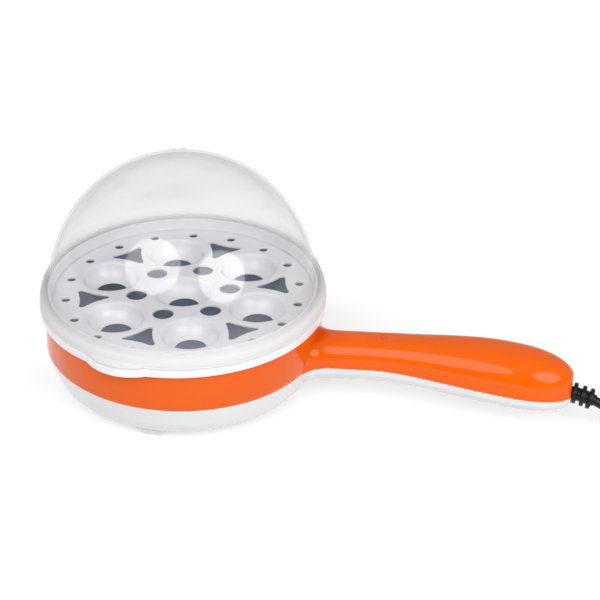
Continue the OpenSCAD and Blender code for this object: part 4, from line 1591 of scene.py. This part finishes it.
@dataclass
class DomeLid:
    """The clear lid: a superelliptic dome that flares into its foot, with two steam vents."""

    power: float = 2.08
    dome_r: float = 87.65
    dome_sunk: float = 1.0
    foot_back: float = 0.2
    foot_h: float = 1.2
    foot_edge: float = 0.4
    foot_lean: float = 0.3
    flare_h: float = 23.0
    flare_low: float = 0.52
    flare_high: float = 0.6
    flare_in: float = 6.0
    ears_in: float = 0.4
    vent_turn: float = 109.0
    vent_out: float = 42.0
    vent_gap: float = 6.6
    vent_r: float = 2.6
    vent_h: float = 1.1
    vent_edge: float = 0.6
    vent_sunk: float = 0.3

    @property
    def base_z(self) -> float:
        """Gives the height of the dome's widest part."""
        return SIZES.lid_z - self.dome_sunk

    @property
    def foot_r(self) -> float:
        """Gives the foot's outer radius away from the ears."""
        return SIZES.rim_r - self.foot_back

    def flare(self, inset: float) -> list[Flat]:
        """Draws the flare from the foot to the dome as one smooth curve.

        Args:
            inset: How far inside the outer surface.

        Returns:
            Points of (radius, height).
        """
        foot_r, foot_z = self.foot_r - inset, SIZES.lid_z
        top_z = foot_z + self.flare_h
        high = SIZES.apex_z - self.base_z - inset
        share = 1 - ((top_z - self.base_z) / high) ** self.power
        knots = [
            (foot_r, foot_z + self.foot_h), (foot_r, foot_z + self.flare_low * self.flare_h),
            (foot_r - self.flare_in, foot_z + self.flare_high * self.flare_h),
            ((self.dome_r - inset) * share ** (1 / self.power), top_z),
        ]
        out = []
        for i in range(1, 23):
            t = i / 22
            w = ((1 - t) ** 3, 3 * t * (1 - t) ** 2, 3 * t * t * (1 - t), t ** 3)
            out.append(tuple(sum(a * knot[axis] for a, knot in zip(w, knots)) for axis in (0, 1)))
        return out

    def dome(self, inset: float) -> list[Flat]:
        """Draws the dome from the flare to the top.

        Args:
            inset: How far inside the outer surface.

        Returns:
            Points of (radius, height).
        """
        high = SIZES.apex_z - self.base_z - inset
        start_z = SIZES.lid_z + self.flare_h - self.base_z
        start = math.asin((start_z / high) ** (self.power / 2))
        out = []
        for i in range(1, 41):
            a = start + (math.pi / 2 - start) * i / 40
            out.append(((self.dome_r - inset) * max(0.0, math.cos(a)) ** (2 / self.power),
                        self.base_z + high * math.sin(a) ** (2 / self.power)))
        return out

    def build(self) -> None:
        """Makes the lid."""
        foot_r, foot_z = self.foot_r, SIZES.lid_z
        foot_in = (foot_r - SIZES.lid_wall, foot_z, False)
        outer, inner = [self.flare(inset) + self.dome(inset) for inset in (0, SIZES.lid_wall)]
        foot = [
            foot_in, (foot_r - self.foot_edge, foot_z, True), (foot_r, foot_z + self.foot_edge, True),
            (foot_r, foot_z + self.foot_h, True),
            (foot_r - self.foot_lean, foot_z + self.foot_h + self.foot_edge, True),
        ]
        bm = bmesh.new()
        add_rim(bm, foot + [(r, z, False) for r, z in outer], self.ears_in)
        add_rim(bm, [(r, z, False) for r, z in reversed(inner)] + [foot_in], self.ears_in)
        self.vents(bm)
        lid = finish_mesh(bm, "clear_dome", sharp=50)
        place_piece(lid, Body.LID, Finish.CLEAR, ("lid",))

    def vents(self, bm: bmesh.types.BMesh) -> None:
        """Adds the two vents near the top of the dome.

        Args:
            bm: Geometry of the lid.
        """
        high = SIZES.apex_z - self.base_z
        side = self.vent_out / self.dome_r
        up = (1 - side ** self.power) ** (1 / self.power)
        lean = math.atan2(side ** (self.power - 1) / self.dome_r, up ** (self.power - 1) / high)
        for way in (-0.5, 0.5):
            stand = (Matrix.Rotation(math.radians(self.vent_turn), 4, "Z")
                     @ standing((self.vent_out, 0, self.base_z + high * up), math.degrees(lean))
                     @ Matrix.Translation((0, way * self.vent_gap, -self.vent_sunk)))
            add_cylinder(bm, stand, self.vent_r, self.vent_h, self.vent_edge, sides=32)


@dataclass
class Indicator:
    """The lamp's lens in its shallow dish on the handle: a flange in the shell and a low dome."""

    flange_w: float = 1.0
    flange_h: float = 1.2
    dome_h: float = 0.3

    def build(self) -> None:
        """Makes the lens."""
        low, high = box_mm("indicator_lens")
        middle, outer = (low.x + high.x) / 2 - SIZES.pan_x, (high.x - low.x) / 2
        r, flange_z, dome_z = outer - self.flange_w, low.z + self.flange_h, high.z - self.dome_h
        turns = [math.radians(9 * k) for k in range(11)]
        dome = [(r * math.cos(a), dome_z + self.dome_h * math.sin(a)) for a in turns]
        bm = bmesh.new()
        flange = [(0, low.z), (outer, low.z), (outer, flange_z), (r, flange_z)]
        add_spin(bm, flange + dome, 64, closed=False)
        lens = finish_mesh(bm, "lamp_window", place=Matrix.Translation((middle, 0, 0)))
        place_piece(lens, Body.BASE, Finish.LENS, ("indicator_lens",))


CAD_FINISHES: dict[str, Finish] = {
    "cooking_pan": Finish.COATING, "pan_seal": Finish.SEAL, "lower_housing": Finish.WHITE,
    "heating_element": Finish.ELEMENT, "element_terminals": Finish.CERAMIC, "heat_shield": Finish.SHEET,
    "thermostat": Finish.CERAMIC, "thermostat_bracket": Finish.STEEL, "bracket_screws": Finish.STEEL,
    "thermal_fuse": Finish.BRASS, "fuse_clip": Finish.STEEL, "base_screws": Finish.STEEL,
    "handle_screws": Finish.STEEL, "neon_lamp": Finish.LENS, "terminal_block": Finish.INSULATOR,
    "terminal_screws": Finish.BRASS, "lead_wires": Finish.WIRE, "cord_clamp": Finish.INSULATOR,
    "clamp_screws": Finish.STEEL, "inner_cord": Finish.BLACK,
}


def dress_cad_nodes() -> None:
    """Gives every CAD node that stays its finish."""
    for name, finish in CAD_FINISHES.items():
        finish.dress(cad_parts[name])
    LOG.info("dressed %d nodes of the frame", len(CAD_FINISHES))


def main() -> None:
    """Builds the whole scene in order."""
    logging.basicConfig(level=logging.INFO, format="%(name)s: %(message)s")
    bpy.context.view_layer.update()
    studio = Studio()
    studio.camera()
    MainsCord().build()
    UpperHousing().build()
    Indicator().build()
    EggTray().build()
    DomeLid().build()
    dress_cad_nodes()
    studio.build()
    bpy.context.scene.view_settings.view_transform = "Standard"


if __name__ == "__main__":
    main()
